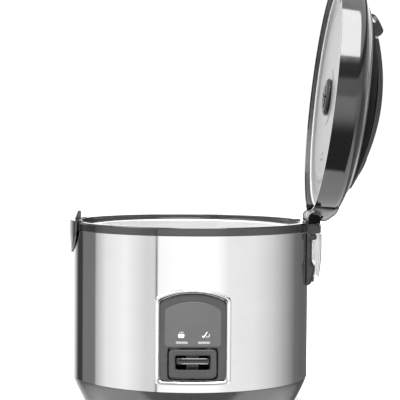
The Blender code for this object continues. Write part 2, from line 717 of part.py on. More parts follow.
def inner_lid(plate_look, rubber, dark, inner, place):
    plate = [(5, 6.4), (111.0, 6.4), (114.9, 5.2), (115.3, 5.9), (111.3, 7.2), (5, 7.2)]
    bm = turned(plate, MIDDLE)
    for vert in bm.verts:
        x, y, _ = vert.co
        if x < -108 and abs(y) < 16:
            vert.co *= Vector((1 + 9 / x, 1 + 9 / x, 1))
    obj = make("inner_lid", bm, plate_look, inner, place)
    holes = [disc(2.2, 3, 9, 8, centre=(62 + dx, dy)) for dx, dy in ((0, 0), (6, 6), (6, -6))]
    shape_with(obj, joined(*holes), "steam_holes")
    seal = [(116.3, 4.8), (116.3, 7.2), (119.2, 7.2), (120.0, 5.8), (118.8, 4.3), (117.0, 4.1)]
    ring = sector(seal, 0, pi - radians(6.5), MIDDLE)
    make("inner_lid_gasket", ring, rubber, inner, place)
    knob = [(4.6, 1.4), (4.6, 6.1), (20, 6.1), (20, 4.4), (17, 2.6), (8, 1.4)]
    make("inner_lid_grommet", turned(knob, 24), dark, inner, place)


# ---------------------------------------------------------------- assembly


def build_body(looks, body):
    base_housing(looks["dark"], body)
    bottom_cover(looks["dark"], body)
    bottom_screws(looks["steel"], body)
    feet(looks["rubber"], body)
    outer_shell(looks["polished"], body)
    top_ring(looks["dark"], body)
    inner_liner(looks["aluminium"], body)
    keep_warm_band(looks["foil"], body)
    heating_plate(looks["aluminium"], body)
    heating_element(looks["steel"], body)
    thermal_fuse(looks["silicone"], body)
    power_inlet(looks["black"], looks["brass"], body)
    lamps = (looks["amber"], looks["green"])
    panel(looks["chrome"], looks["dark"], looks["label"], lamps, body)
    switch_frame(looks["dark"], body)
    latch_bracket(looks["dark"], body)
    hinge_bracket(looks["dark"], body)
    hinge_block(looks["dark"], body)
    hinge_pieces(looks["black"], looks["steel"], body)


def build_moving(looks, body):
    lever = empty("lever_axis", body, (0, LEVER_Y, LEVER_Z))
    switch_lever(looks["black"], looks["steel"], looks["dark"], body, lever)
    sensor = empty("sensor_axis", body)
    plunger = empty("plunger_axis", body)
    thermostat(looks["steel"], looks["black"], body, sensor, plunger)
    dew_collector(looks["clear"], empty("collector_axis", body))
    inner_pot(looks["aluminium"], empty("pot_axis", body))


def build_lid(looks, body):
    lid = empty("lid_axis", body, (HINGE_X, 0, HINGE_Z), (0, LID_OPEN, 0))
    place = Vector((-HINGE_X, 0, LID_RIM_Z - HINGE_Z))
    lid_shell(looks["dark"], lid, place)
    lid_lining(looks["dark"], lid, place)
    lid_cover(looks["dark"], lid, place)
    trim_ring(looks["chrome"], lid, place)
    handle_cap(looks["black"], lid, place)
    lid_hinge_arm(looks["black"], lid, place)
    hinge_cover(looks["dark"], lid, place)
    button = empty("button_axis", lid)
    release_button(looks["black"], button, place)
    slide = empty("latch_axis", lid)
    latch_slide(looks["black"], looks["steel"], slide, lid, place)
    seat = vent_seat(place)
    vent = empty("vent_axis", lid, seat["place"], seat["turn"])
    steam_vent_cap(looks["black"], vent)
    inner = empty("inner_lid_axis", lid)
    inner_lid(looks["aluminium"], looks["silicone"], looks["black"], inner, place)


def main():
    clear_scene()
    looks = {
        "dark": material("dark_grey_plastic", (0.12, 0.12, 0.125), 0.32),
        "black": material("black_plastic", (0.02, 0.02, 0.022), 0.35),
        "label": material("label_grey", (0.16, 0.16, 0.165), 0.4),
        "polished": material("polished_steel", (0.78, 0.78, 0.79), 0.14, 1.0),
        "chrome": material("chrome_trim", (0.86, 0.86, 0.87), 0.08, 1.0),
        "steel": material("plain_steel", (0.6, 0.6, 0.61), 0.35, 1.0),
        "aluminium": material("satin_aluminium", (0.83, 0.83, 0.84), 0.32, 1.0),
        "foil": material("heater_foil", (0.7, 0.7, 0.7), 0.5, 1.0),
        "brass": material("nickelled_brass", (0.72, 0.66, 0.5), 0.3, 1.0),
        "rubber": material("black_rubber", (0.03, 0.03, 0.03), 0.8),
        "silicone": material("clear_silicone", (0.9, 0.9, 0.88), 0.4, 0.0, 0.5),
        "clear": material("clear_plastic", (0.95, 0.95, 0.96), 0.06, 0.0, 0.95),
        "amber": material("amber_lens", (0.75, 0.3, 0.05), 0.2),
        "green": material("green_lens", (0.2, 0.5, 0.15), 0.2),
    }
    body = empty("cooker_axis", None, (AXIS_X, 0, 0))
    build_body(looks, body)
    build_moving(looks, body)
    build_lid(looks, body)


main()
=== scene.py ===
"""Looks of the clamshell rice cooker: fine surfaces, finishes and a plain pale studio.

Outlines are in millimetres about the body's upright axis. Lid pieces are drawn shut, about the
centre of the lid's rim, and turned open about the hinge.
"""

from math import asin, atan, copysign, cos, degrees, hypot, pi, radians, sin, tan

import bmesh
import bpy
from mathutils import Matrix, Vector


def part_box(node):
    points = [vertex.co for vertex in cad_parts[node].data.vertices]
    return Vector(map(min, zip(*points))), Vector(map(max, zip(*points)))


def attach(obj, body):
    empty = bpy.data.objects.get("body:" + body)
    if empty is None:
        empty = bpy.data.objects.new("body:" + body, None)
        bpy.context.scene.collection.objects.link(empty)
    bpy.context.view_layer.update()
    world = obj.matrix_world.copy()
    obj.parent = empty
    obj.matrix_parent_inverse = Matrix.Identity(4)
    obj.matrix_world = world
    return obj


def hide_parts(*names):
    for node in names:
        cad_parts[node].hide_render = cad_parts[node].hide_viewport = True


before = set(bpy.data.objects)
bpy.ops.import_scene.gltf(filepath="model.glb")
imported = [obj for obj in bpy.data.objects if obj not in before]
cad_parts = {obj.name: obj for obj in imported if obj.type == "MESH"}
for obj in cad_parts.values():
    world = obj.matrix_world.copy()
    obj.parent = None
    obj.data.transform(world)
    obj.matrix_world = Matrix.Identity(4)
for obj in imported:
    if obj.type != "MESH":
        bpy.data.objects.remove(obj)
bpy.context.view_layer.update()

MM = 0.001
TURN = 2 * pi
ROUND, COARSE = 224, 96

# Driving sizes in millimetres. U runs along the grip and V across it, from the lid's middle.
BODY_R = 127.2
HINGE_X, HINGE_Z, LID_RIM_Z = 131.7, 209, 205.5
LID_OPEN = radians(96)
SPREAD, LATCH_SPREAD = radians(15), radians(20)
COVER_R, COVER_EDGE, COVER_APEX = 98, 38, 57
CAP_APEX, CAP_DROP, CAP_RUN = 64, 26, 103
CAP_HALF, CAP_START, CAP_END = 17, -70.4, 96
WELL_RUN, WELL_REACH, WELL_DEEP, WELL_TOP, WELL_SIDE = 62, 48, 24, 60, 18
SKIN = 2.5
VENT_U, VENT_R = 70, 12
HINGE_ROOM = ((119, -34.5, -3), (136, 34.5, 15))
BUTTON_OUT, BUTTON_IN, BUTTON_HALF = -94, -71, 12
BEZEL = dict(half=39, low=46, shoulder=134, top=143.3, corner=5)
OPENING = dict(half=34, low=49.9, shoulder=130.5, top=138.8, corner=4)
PANEL = dict(half=33.4, low=50.3, shoulder=130.1, top=138.4, corner=4)
WINDOW = dict(half=33.8, low=49.9, shoulder=130.4, top=138.7, corner=4)
LABEL = dict(half=28.5, low=84.7, shoulder=122, top=130.8, corner=3)
LABEL_FACE = 129.4
SWITCH_Z, SLOT_Z, LAMP_Z = 67.6, 68.8, 89.4

low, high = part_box("outer_shell")
AXIS_X = (low.x + high.x) / 2
low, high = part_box("hinge_pin")
HINGE = (low + high) / 2
TO_METRES = Matrix.Scale(MM, 4)
BODY = Matrix.Translation((AXIS_X, 0, 0)) @ TO_METRES
LID = (
    Matrix.Translation(HINGE) @ Matrix.Rotation(LID_OPEN, 4, "Y") @ TO_METRES
    @ Matrix.Translation((-HINGE_X, 0, LID_RIM_Z - HINGE_Z))
)


# ---- outlines


def clamp(value):
    return min(1, max(0, value))


def bend(start, knee, end, steps):
    """Points on a curve from start to end, pulled towards a knee, both ends included."""
    shares = [i / steps for i in range(steps + 1)]
    return [tuple(start * (1 - t) ** 2 + knee * 2 * t * (1 - t) + end * t * t) for t in shares]


def spaced(start, end, steps):
    """The points between two others, evenly apart."""
    start, end = Vector(start), Vector(end)
    return [tuple(start.lerp(end, i / steps)) for i in range(1, steps)]


def rounded(points, radius=0.5, steps=4):
    """A closed outline with its corners rounded. A point may carry its own radius."""
    made = []
    count = len(points)
    for i, point in enumerate(points):
        here = Vector(point[:2])
        reach = point[2] if len(point) > 2 else radius
        before = Vector(points[i - 1][:2]) - here
        after = Vector(points[(i + 1) % count][:2]) - here
        reach = min(reach, 0.45 * before.length, 0.45 * after.length)
        if reach < 0.02 or here.x < 0.01:
            made.append(tuple(here))
            continue
        start, end = here + before.normalized() * reach, here + after.normalized() * reach
        if before.length > 4 * reach:
            made.append(tuple(start + before.normalized() * reach * 0.5))
        made += bend(start, here, end, steps)
        if after.length > 4 * reach:
            made.append(tuple(end + after.normalized() * reach * 0.5))
    return made


def polar(radius, turn, centre=(0, 0)):
    """The point at a radius and a turn in degrees from a centre."""
    return centre[0] + radius * cos(radians(turn)), centre[1] + radius * sin(radians(turn))


def arc(centre, radius, start, end, steps):
    """Points on an arc, angles in degrees, both ends included."""
    turns = [start + (end - start) * i / steps for i in range(steps + 1)]
    return [polar(radius, turn, centre) for turn in turns]


def rounded_box(width, height, corner, centre=(0, 0), steps=8, edge=8):
    """A rectangle with round corners and points along its straight sides."""
    x, z = width / 2 - corner, height / 2 - corner
    signs = ((1, 1), (-1, 1), (-1, -1), (1, -1))
    middles = [Vector((centre[0] + a * x, centre[1] + b * z)) for a, b in signs]
    points = []
    for i, middle in enumerate(middles):
        points += arc(middle, corner, 90 * i, 90 * i + 90, steps)
        after = polar(corner, 90 * i + 90, middles[(i + 1) % 4])
        points += spaced(points[-1], after, edge)
    return points


def arch_radius(half, rise):
    """The radius of a shallow arch, from half its width and its height."""
    return (half**2 + rise**2) / (2 * rise)


def arched(half, low, shoulder, top, corner, roof_steps=32, side_steps=16):
    """An upright panel's outline: round lower corners and a shallow arch for its top."""
    radius = arch_radius(half, top - shoulder)
    spread = degrees(asin(half / radius)) - 3.2
    base = shoulder - 4
    points = arc((0, top - radius), radius, 90 - spread, 90 + spread, roof_steps)
    knee = [Vector((-half, height)) for height in (shoulder, base)]
    turn = bend(Vector(points[-1]), *knee, 8)[1:]
    points += turn + spaced(turn[-1], (-half, low + corner), side_steps)
    points += arc((corner - half, low + corner), corner, 180, 270, 8)
    points += spaced(points[-1], (half - corner, low), 24)
    points += arc((half - corner, low + corner), corner, 270, 360, 8)
    points += spaced(points[-1], (half, base), side_steps)
    return points + [(-x, z) for x, z in turn[::-1]]


# ---- meshes


def turned(outline, steps=ROUND, start=0, sweep=TURN):
    """A closed outline of (radius, height) turned about Z. A part sweep gets end caps."""
    full = sweep == TURN
    angles = [start + sweep * i / steps for i in range(steps if full else steps + 1)]
    return lofted([[(r * cos(a), r * sin(a), z) for r, z in outline] for a in angles], full)


def lofted(loops, closed=False):
    """Loops with equal counts of points joined in order, capped at both ends unless closed."""
    bm = bmesh.new()
    rows = [[bm.verts.new(p) for p in loop] for loop in loops]
    pairs = list(zip(rows, rows[1:])) + ([(rows[-1], rows[0])] if closed else [])
    for here, there in pairs:
        for j in range(len(here)):
            k = (j + 1) % len(here)
            bm.faces.new((here[j], here[k], there[k], there[j]))
    if not closed:
        bm.faces.new(rows[0])
        bm.faces.new(rows[-1])
    return bm


def prism(outline, low, high, way):
    return lofted([[way(a, b, d) for a, b in outline] for d in (low, high)])


def along_x(a, b, depth):
    return depth, a, b


def along_y(a, b, depth):
    return a, depth, b


def along_z(a, b, depth):
    return a, b, depth


def block(low, high):
    (x0, y0, z0), (x1, y1, z1) = low, high
    return prism([(x0, y0), (x1, y0), (x1, y1), (x0, y1)], z0, z1, along_z)


def disc(radius, low, high, way=along_z, centre=(0, 0), steps=40):
    return prism(arc(centre, radius, 0, 360, steps)[:-1], low, high, way)


def between(upper, lower):
    """A closed solid between two grids of points that have the same rows and columns."""
    bm = bmesh.new()
    grids = [[[bm.verts.new(point) for point in row] for row in grid] for grid in (upper, lower)]
    last_row, last = len(upper) - 1, len(upper[0]) - 1
    for grid in grids:
        for here, there in zip(grid, grid[1:]):
            for j in range(last):
                bm.faces.new((here[j], there[j], there[j + 1], here[j + 1]))
    up, down = grids
    for i in range(last_row):
        for j in (0, last):
            bm.faces.new((up[i][j], up[i + 1][j], down[i + 1][j], down[i][j]))
    for j in range(last):
        for i in (0, last_row):
            bm.faces.new((up[i][j], up[i][j + 1], down[i][j + 1], down[i][j]))
    return bm


def tidied(bm):
    bmesh.ops.remove_doubles(bm, verts=bm.verts, dist=0.0005)
    bmesh.ops.recalc_face_normals(bm, faces=bm.faces)
    return bm


def moved(bm, matrix):
    bmesh.ops.transform(bm, matrix=matrix, verts=bm.verts)
    return bm


def as_mesh(name, bm):
    mesh = bpy.data.meshes.new(name)
    bm.to_mesh(mesh)
    bm.free()
    return mesh


def placed(name, data):
    """A new object in the scene."""
    obj = bpy.data.objects.new(name, data)
    bpy.context.scene.collection.objects.link(obj)
    return obj


def joined(*parts):
    whole = parts[0]
    for part in parts[1:]:
        mesh = as_mesh("joining", part)
        whole.from_mesh(mesh)
        bpy.data.meshes.remove(mesh)
    return whole


def shaped(bm, tool, operation="DIFFERENCE"):
    """bm cut by, or joined with, another drawn shape."""
    obj, other = [placed("working", as_mesh("working", tidied(used))) for used in (bm, tool)]
    boolean = obj.modifiers.new("shape", "BOOLEAN")
    boolean.operation = operation
    boolean.solver = "EXACT"
    boolean.object = other
    graph = bpy.context.evaluated_depsgraph_get()
    made = bmesh.new()
    made.from_mesh(obj.evaluated_get(graph).to_mesh())
    for used in (obj, other):
        mesh = used.data
        bpy.data.objects.remove(used)
        bpy.data.meshes.remove(mesh)
    return made


def cut(bm, *tools):
    for tool in tools:
        bm = shaped(bm, tool)
    return bm


def shown(obj, body, nodes):
    """Says what a piece rides on and which solids it stands for."""
    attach(obj, body)
    if nodes:
        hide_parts(*nodes.split())
    return obj


def piece(name, bm, matrix, body, look, nodes, slot="dark_plastic", bevel=0, sharp=38):
    """A shown piece made from a drawn shape: placed, finished, and riding on its body."""
    mesh = as_mesh(name, moved(tidied(bm), matrix))
    mesh.shade_smooth()
    mesh.set_sharp_from_angle(angle=radians(sharp))
    mesh.materials.append(LOOKS[look])
    obj = placed(name, mesh)
    if bevel:
        soften(obj, bevel)
    return shown(obj, body, nodes)


def on_body(name, bm, *rest, **more):
    return piece(name, bm, BODY, "cooker_body", *rest, **more)


def on_lid(name, bm, *rest, **more):
    return piece(name, bm, LID, "lid", *rest, **more)


def soften(obj, width):
    """Small round edges, width in millimetres."""
    edge = obj.modifiers.new("edge", "BEVEL")
    edge.width = width * MM
    edge.segments = 3
    edge.limit_method = "ANGLE"
    edge.angle_limit = radians(34)
    even = obj.modifiers.new("even", "WEIGHTED_NORMAL")
    even.keep_sharp = True


def coil(name, body, nodes, matrix, radius, wire, turns, low, high, way, centre=(0, 0)):
    """A wire spring between two heights, its wire given by diameter."""
    curve = bpy.data.curves.new(name, "CURVE")
    curve.dimensions = "3D"
    curve.bevel_depth = wire / 2 * MM
    curve.bevel_resolution = 4
    curve.use_fill_caps = True
    per_turn = 28
    count = int(turns * per_turn)
    spline = curve.splines.new("POLY")
    spline.points.add(count)
    for i, point in enumerate(spline.points):
        a = TURN * i / per_turn
        across = (centre[0] + radius * cos(a), centre[1] + radius * sin(a))
        point.co = (*(matrix @ Vector(way(*across, low + (high - low) * i / count))), 1)
    curve.materials.append(LOOKS["wire"])
    shown(placed(name, curve), body, nodes)


# ---- finishes


def node(tree, kind, inputs, **settings):
    """A new node. Inputs are given by name or number, as values or as the sockets to link."""
    made = tree.nodes.new("ShaderNode" + kind)
    for key, value in settings.items():
        setattr(made, key, value)
    feed(tree, made, inputs)
    return made


def feed(tree, made, inputs):
    for key, value in inputs.items():
        if isinstance(value, bpy.types.NodeSocket):
            tree.links.new(value, made.inputs[key])
        else:
            made.inputs[key].default_value = value


def noise(tree, scale, stretch, detail, rough):
    """A noise over the piece's own coordinates, stretched along chosen axes."""
    coord = node(tree, "TexCoord", {}).outputs["Object"]
    place = node(tree, "Mapping", {"Vector": coord, "Scale": stretch}).outputs["Vector"]
    values = {"Vector": place, "Scale": scale, "Detail": detail, "Roughness": rough}
    return node(tree, "TexNoise", values).outputs["Fac"]


def mapped(tree, source, low, high, start=0.3, end=0.7):
    values = {"Value": source, "From Min": start, "From Max": end, "To Min": low, "To Max": high}
    return node(tree, "MapRange", values).outputs["Result"]


def blended(tree, factor, first, second):
    values = {"Factor": factor, "A": first, "B": second}
    return node(tree, "Mix", values, data_type="RGBA").outputs["Result"]


def opaque(tone):
    """A colour with its alpha, from a grey's value or from three values."""
    return (*tone, 1) if isinstance(tone, tuple) else (tone, tone, tone, 1)


def finish(name, tones, rough, metallic, grain, cloud, bump, depth, along=(1, 1, 1),
           drift=(1, 1, 1), coat=0, clear=0, ior=1.5, gloss=0.5):
    """A surface whose colour drifts between two tones, with clouded gloss and a fine relief.

    grain and cloud are the scales of the fine and the broad noise, along and drift stretch
    them, and depth is the relief's height in millimetres.
    """
    made = bpy.data.materials.new(name)
    made.use_nodes = True
    tree = made.node_tree
    fine, broad = noise(tree, grain, along, 3, 0.5), noise(tree, cloud, drift, 4, 0.6)
    terms = {0: mapped(tree, fine, -0.5, 0.5), 1: mapped(tree, broad, 0, 1)}
    both = node(tree, "Math", terms, operation="ADD").outputs[0]
    ramp = node(tree, "ValToRGB", {"Fac": both})
    for element, tone in zip(ramp.color_ramp.elements, tones):
        element.color = opaque(tone)
    relief = node(tree, "Bump", {"Strength": bump, "Distance": depth * MM, "Height": fine})
    feed(tree, tree.nodes["Principled BSDF"], {
        "Base Color": ramp.outputs["Color"], "Roughness": mapped(tree, broad, *rough),
        "Normal": relief.outputs["Normal"], "Metallic": metallic, "Coat Weight": coat,
        "Coat Roughness": 0.04, "Transmission Weight": clear, "IOR": ior,
        "Specular IOR Level": gloss,
    })
    return made


# Stretch of the fine noise on turned metal: long across the axis, short along it.
SPUN, WIPED = (0.5, 0.5, 30), (0.6, 0.6, 30)

LOOKS = dict(
    smoke=finish("smoke_paint", (0.085, 0.1), (0.07, 0.1), 0.9, 2600, 14, 0.03, 0.02, coat=0.15),
    steel=finish("polished_steel", (0.80, 0.84), (0.045, 0.075), 1, 260, 9, 0.02, 0.01,
                 (0.6, 0.6, 40), (1, 1, 3)),
    # painted shade: the smoke paint darkened for the hinge's bracket and block
    deep=finish("smoke_paint_painted_shade", (0.045, 0.055), (0.12, 0.18), 0.8, 2600, 14, 0.03, 0.02,
                coat=0.15),
    # painted light: the smoke plastic made lighter for the base, standing in for the pale floor's
    # light reflected in it
    base=finish("smoke_plastic_painted_light", (0.1, 0.12), (0.14, 0.2), 0.6, 1800, 14, 0.05, 0.03, coat=0.15),
    hood=finish("hood_plastic", (0.11, 0.13), (0.22, 0.3), 0.5, 1800, 18, 0.05, 0.03, coat=0.15),
    matt=finish("matt_black_plastic", (0.003, 0.006), (0.5, 0.62), 0, 1100, 22, 0.2, 0.06,
                gloss=0.03),
    # painted shade: the satin aluminium darkened for the lid's plate, to hold back its light
    shaded_lid_sheet=finish("shaded_lid_sheet", (0.24, 0.26), (0.3, 0.34), 1, 300, 8, 0.03, 0.01, SPUN),
    # the pot lining; pot() paints shade into it, darker towards the floor
    bright=finish("bright_pot_lining", (0.95, 0.98), (0.34, 0.42), 0.75, 300, 16, 0.05, 0.02,
                  SPUN, (1, 1, 2)),
    dull_chrome=finish("satin_chrome", (0.37, 0.44), (0.3, 0.38), 1, 400, 30, 0.04, 0.01, WIPED),
    chrome=finish("chrome_trim", (0.84, 0.88), (0.03, 0.06), 1, 1200, 30, 0.02, 0.01),
    black=finish("black_plastic", (0.012, 0.02), (0.22, 0.32), 0, 1500, 22, 0.08, 0.04),
    lever=finish("lever_plastic", (0.01, 0.015), (0.14, 0.2), 0, 1500, 22, 0.05, 0.02, coat=1),
    satin=finish("satin_black_plastic", (0.014, 0.022), (0.38, 0.5), 0, 1100, 22, 0.2, 0.06),
    panel=finish("panel_grey", (0.044, 0.055), (0.3, 0.38), 0, 1500, 25, 0.08, 0.03),
    label=finish("label_grey", (0.078, 0.092), (0.3, 0.36), 0, 1800, 25, 0.06, 0.03),
    lining=finish("lining_grey", (0.045, 0.06), (0.3, 0.4), 0, 1300, 20, 0.1, 0.03),
    sheet=finish("satin_aluminium", (0.82, 0.9), (0.3, 0.38), 1, 260, 16, 0.05, 0.02, (30, 1, 1)),
    cast=finish("cast_aluminium", (0.6, 0.7), (0.38, 0.5), 1, 700, 30, 0.25, 0.1),
    wire=finish("plain_steel", (0.5, 0.6), (0.28, 0.4), 1, 900, 60, 0.1, 0.04),
    foil=finish("heater_foil", (0.6, 0.7), (0.45, 0.6), 1, 300, 30, 0.5, 0.2),
    brass=finish("nickelled_brass", ((0.62, 0.56, 0.42), (0.7, 0.64, 0.5)), (0.25, 0.35), 1,
                 900, 60, 0.1, 0.03),
    rubber=finish("black_rubber", (0.02, 0.035), (0.7, 0.85), 0, 600, 40, 0.4, 0.2),
    silicone=finish("pale_silicone", (0.78, 0.86), (0.35, 0.45), 0, 700, 40, 0.15, 0.06,
                    clear=0.35, ior=1.41),
    clear=finish("clear_plastic", (0.8, 0.84), (0.1, 0.16), 0, 500, 30, 0.03, 0.02,
                 clear=0.75, ior=1.3),
    print=finish("white_print", (0.82, 0.9), (0.4, 0.5), 0, 2500, 60, 0.1, 0.02),
    lens=finish("lamp_lens", (0.36, 0.45), (0.12, 0.2), 0, 900, 20, 0.1, 0.03,
                drift=(60, 1, 1), clear=0.2),
)


# ---- body


def window_edges(x, half, low, shoulder, top, corner):
    """Lowest and highest point of the panel's window at a distance along the wall."""
    radius = arch_radius(half, top - shoulder)
    x = min(abs(x), half)
    roof = top - radius + (radius**2 - x * x) ** 0.5
    into = max(0, x - (half - corner))
    return low + corner - (corner**2 - into**2) ** 0.5, roof


def outer_shell():
    """The steel band, in upright strips that leave the panel's window open."""
    half = WINDOW["half"] / BODY_R
    strips, others, fine, thick = 56, 230, 0.004, 0.8
    inside = [-half + 2 * half * i / strips for i in range(strips + 1)]
    beside = [half + fine * i for i in (1, 2, 3)]
    rest = TURN - 2 * beside[-1]
    around = [beside[-1] + rest * i / others for i in range(1, others)]
    angles = inside + beside + around + [TURN - a for a in beside[::-1]]
    bm = bmesh.new()
    columns = []
    for a in angles:
        sill, roof = window_edges(a * BODY_R, **WINDOW)
        heights = (38.3, 38.7, 39.6, sill, roof, 195, 195.8, 196.2)
        columns.append([[bm.verts.new((r * sin(a), -r * cos(a), z)) for z in heights]
                        for r in (BODY_R, BODY_R - thick)])
    sill_row, roof_row, last_row = 3, 4, 7
    count = len(angles)
    for i in range(count):
        here, there = columns[i], columns[(i + 1) % count]
        opened = i < strips
        for j in range(last_row):
            if opened and j == sill_row:
                continue
            for a, b in zip(here, there):
                bm.faces.new((a[j], a[j + 1], b[j + 1], b[j]))
        for j in (0, last_row) + ((sill_row, roof_row) if opened else ()):
            bm.faces.new((here[0][j], here[1][j], there[1][j], there[0][j]))
    for i in (0, strips):
        out, back = columns[i]
        bm.faces.new((out[sill_row], out[roof_row], back[roof_row], back[sill_row]))
    on_body("steel_band", bm, "steel", "outer_shell", "polished_steel", sharp=30)


def base_radius(z):
    """The tapered base's outer radius at a height."""
    top, drop, taper = 38.3, 32.8, 16
    return BODY_R - 0.2 - taper * (max(top - z, 0) / drop) ** 1.2


def base():
    """The tapered base, its floor plate with air slots, the screws and the rubber feet."""
    screw_spots = [polar(103, turn) for turn in (60, 180, 300)]
    top = 38
    heights = [top - 31.6 * i / 12 for i in range(13)]
    outside = [(base_radius(z), z, 0.6 if z == top else 0) for z in heights]
    bottom = [(base_radius(5.5) - 0.3, 5.5, 1), (106, 5.5), (106, 8.8, 0), (101, 8.8, 0),
              (101, 11.2)]
    inside = [(base_radius(z) - 2.6, z, 0) for z in (11.2, 16, 22, 29, 36)]
    tongue = [(124.3, 40, 0), (124.3, 46), (125.9, 46), (125.9, 38, 0)]
    outline = rounded(outside + bottom + inside + tongue, 0.6)
    bm = cut(turned(outline), block((-15.4, 108, 11.6), (15.4, 132, 34.4)),
             joined(*[disc(1.9, 5, 12, centre=spot) for spot in screw_spots]))
    # the base's plastic is lightened as painted light
    on_body("base_skin", bm, "base", "base_housing")

    bm = turned(rounded([(0, 8.5), (105.6, 8.5), (105.6, 6), (92, 6, 2), (90, 6.8, 2),
                         (40, 6.8, 2), (38, 6, 2), (0, 6)], 0.4), COARSE)
    slots = [rounded_box(3.2, 44, 1.5, (x, 0), 6, 2) for x in range(-30, 31, 20)]
    cuts = [prism(outline, 5, 10, along_z) for outline in slots]
    cuts += [disc(1.9, 5, 10, centre=spot) for spot in screw_spots]
    on_body("floor_plate", shaped(bm, joined(*cuts)), "satin", "bottom_cover")

    head = rounded([(0, 3.9), (2.4, 3.9), (2.4, 5.7), (1.5, 5.7), (1.5, 14), (0, 14)], 0.4)
    for i, (x, y) in enumerate(screw_spots):
        bm = cut(turned(head, 32), block((-1.6, -0.35, 3), (1.6, 0.35, 4.6)),
                 block((-0.35, -1.6, 3), (0.35, 1.6, 4.6)))
        piece(f"screw_{i + 1}", bm, BODY @ Matrix.Translation((x, y, 0)), "cooker_body", "wire",
              f"bottom_screw_{i + 1}", "plain_steel")

    foot = rounded([(0, 5.7), (9, 5.7), (9, 1.5, 1.2), (7.5, 0, 0.8), (0, 0)], 0.5)
    turns = dict(front_right=-45, back_right=45, back_left=135, front_left=-135)
    for name, turn in turns.items():
        spot = Matrix.Translation((*polar(88, turn), 0))
        piece(f"rubber_{name}", turned(foot, 48), BODY @ spot, "cooker_body", "rubber",
              f"foot_{name}", "rubber_foot")


def ring():
    """The ring round the mouth, notched for the hinge."""
    outline = [
        (126.8, 205, 0.7), (127.6, 204.1, 0.7), (127.6, 196.6, 0.4), (125.9, 196.6, 0.1),
        (125.9, 190), (124.4, 190), (124.4, 197.8, 0.2), (108.6, 197.8, 0.2), (108.6, 197, 0.2),
        (102.2, 197, 0.3), (102.2, 198.9, 0.4), (106.3, 198.9, 0.3), (106.3, 200.2, 0.3),
        (107, 200.6, 0.3), (120.4, 200.6, 0.6), (120.4, 204.4, 0.4), (121, 205, 0.4),
    ]
    notch = [(117.9, 207), (130, 207), (130, 199), (117.9, 199)]
    bm = shaped(turned(rounded(outline)), turned(notch, 24, -radians(15.5), radians(31)))
    on_body("mouth_ring", bm, "smoke", "top_ring")


def inside_body():
    """Liner, heating plate, and the sprung sensor cup in its middle."""
    liner = [
        (105.2, 196.6), (105.2, 44, 4), (101.2, 39.7, 3), (26, 39.7, 0.1), (26, 40.3, 0.1),
        (101, 40.3, 3), (104.6, 44.2, 4), (104.6, 196.6),
    ]
    on_body("liner", turned(rounded(liner, 0.1)), "sheet", "inner_liner", "satin_aluminium")
    plate = [
        (78, 57.2, 1.2), (80, 54, 2), (80, 50, 2), (77, 47.5, 1), (17.5, 47.5), (17.5, 58.2),
        (30, 58.2, 0.3), (30.3, 57.9, 0.2), (31.3, 57.9, 0.2), (31.6, 58.2, 0.3), (58, 58.2, 0.3),
        (58.3, 57.9, 0.2), (59.3, 57.9, 0.2), (59.6, 58.2, 0.3), (76, 58.2, 1),
    ]
    legs = [disc(4.5, 40.6, 50, centre=polar(70, turn)) for turn in (90, 210, 330)]
    bm = shaped(turned(rounded(plate, 0.5), COARSE), joined(*legs), "UNION")
    on_body("hot_plate", bm, "cast", "heating_plate", "satin_aluminium")
    cup = [
        (0, 58.2), (14.6, 58.2, 0.8), (15.6, 57.2, 0.6), (15.6, 47, 0.2), (14.8, 47, 0.2),
        (14.8, 57, 0.4), (14.4, 57.4, 0.3), (0, 57.4),
    ]
    piece("sensor_cap", turned(rounded(cup, 0.3), 64), BODY, "sensor", "wire", "sensor_cup",
          "plain_steel")
    coil("sensor_coil", "sensor", "sensor_spring", BODY, 13.1, 1, 4, 45, 56.6, along_z)


def paint_depth_shade(look, shade_tone, low, high):
    """Paints shade into a look: its colour darkens below a height, standing in for the shade deep
    inside a vessel.
    """
    tree = look.node_tree
    colour = tree.nodes["Principled BSDF"].inputs["Base Color"]
    coord = node(tree, "TexCoord", {}).outputs["Object"]
    height = node(tree, "SeparateXYZ", {0: coord}).outputs["Z"]
    rise = mapped(tree, height, 0, 1, low, high)
    tone = blended(tree, rise, opaque(shade_tone), colour.links[0].from_socket)
    tree.links.new(tone, colour)


def pot():
    outer = arc((84, 75.4), 16.8, -90, 0, 14)
    inner = arc((84, 75.4), 15.3, 0, -90, 14)
    flange = [(100.8, 199.2, 1), (105.9, 199.2, 0.4), (105.9, 200.2, 0.4), (99.3, 200.2, 1.2)]
    points = [(0, 58.6)] + [p + (0,) for p in outer] + flange
    points += [(99.3, 160, 0), (99.3, 120, 0)] + [p + (0,) for p in inner] + [(0, 60.1)]
    # painted shade: the pot lining's colour darkens towards the pot's floor
    paint_depth_shade(LOOKS["bright"], 0.42, 0.06, 0.165)
    piece("pot", turned(rounded(points, 0.4)), BODY, "inner_pot", "bright", "inner_pot",
          "satin_aluminium")


# ---- control panel


def on_wall(outline, radius):
    """A flat outline of (along the wall, height) laid on the body's front at a radius."""
    return [(radius * sin(a / BODY_R), -radius * cos(a / BODY_R), z) for a, z in outline]


def shifted(outer, inner, share):
    return [(a[0] + (b[0] - a[0]) * share, a[1] + (b[1] - a[1]) * share)
            for a, b in zip(outer, inner)]


def plate_on_wall(outline, middle, inner, outer, edge=0.6):
    """A closed plate on the wall with round front edges; middle is what it narrows to."""
    def at(share, radius):
        return on_wall(shifted(outline, middle, share), radius)

    steps = 10
    back = [at(0.97 - 0.96 * i / steps, inner) for i in range(steps + 1)]
    rim = [at(0, inner + 0.05), at(0, outer - edge), at(0.006, outer - edge * 0.5),
           at(0.018, outer - edge * 0.15), at(0.034, outer)]
    front = [at(0.06 + 0.91 * i / steps, outer) for i in range(steps + 1)]
    return lofted(back + rim + front)


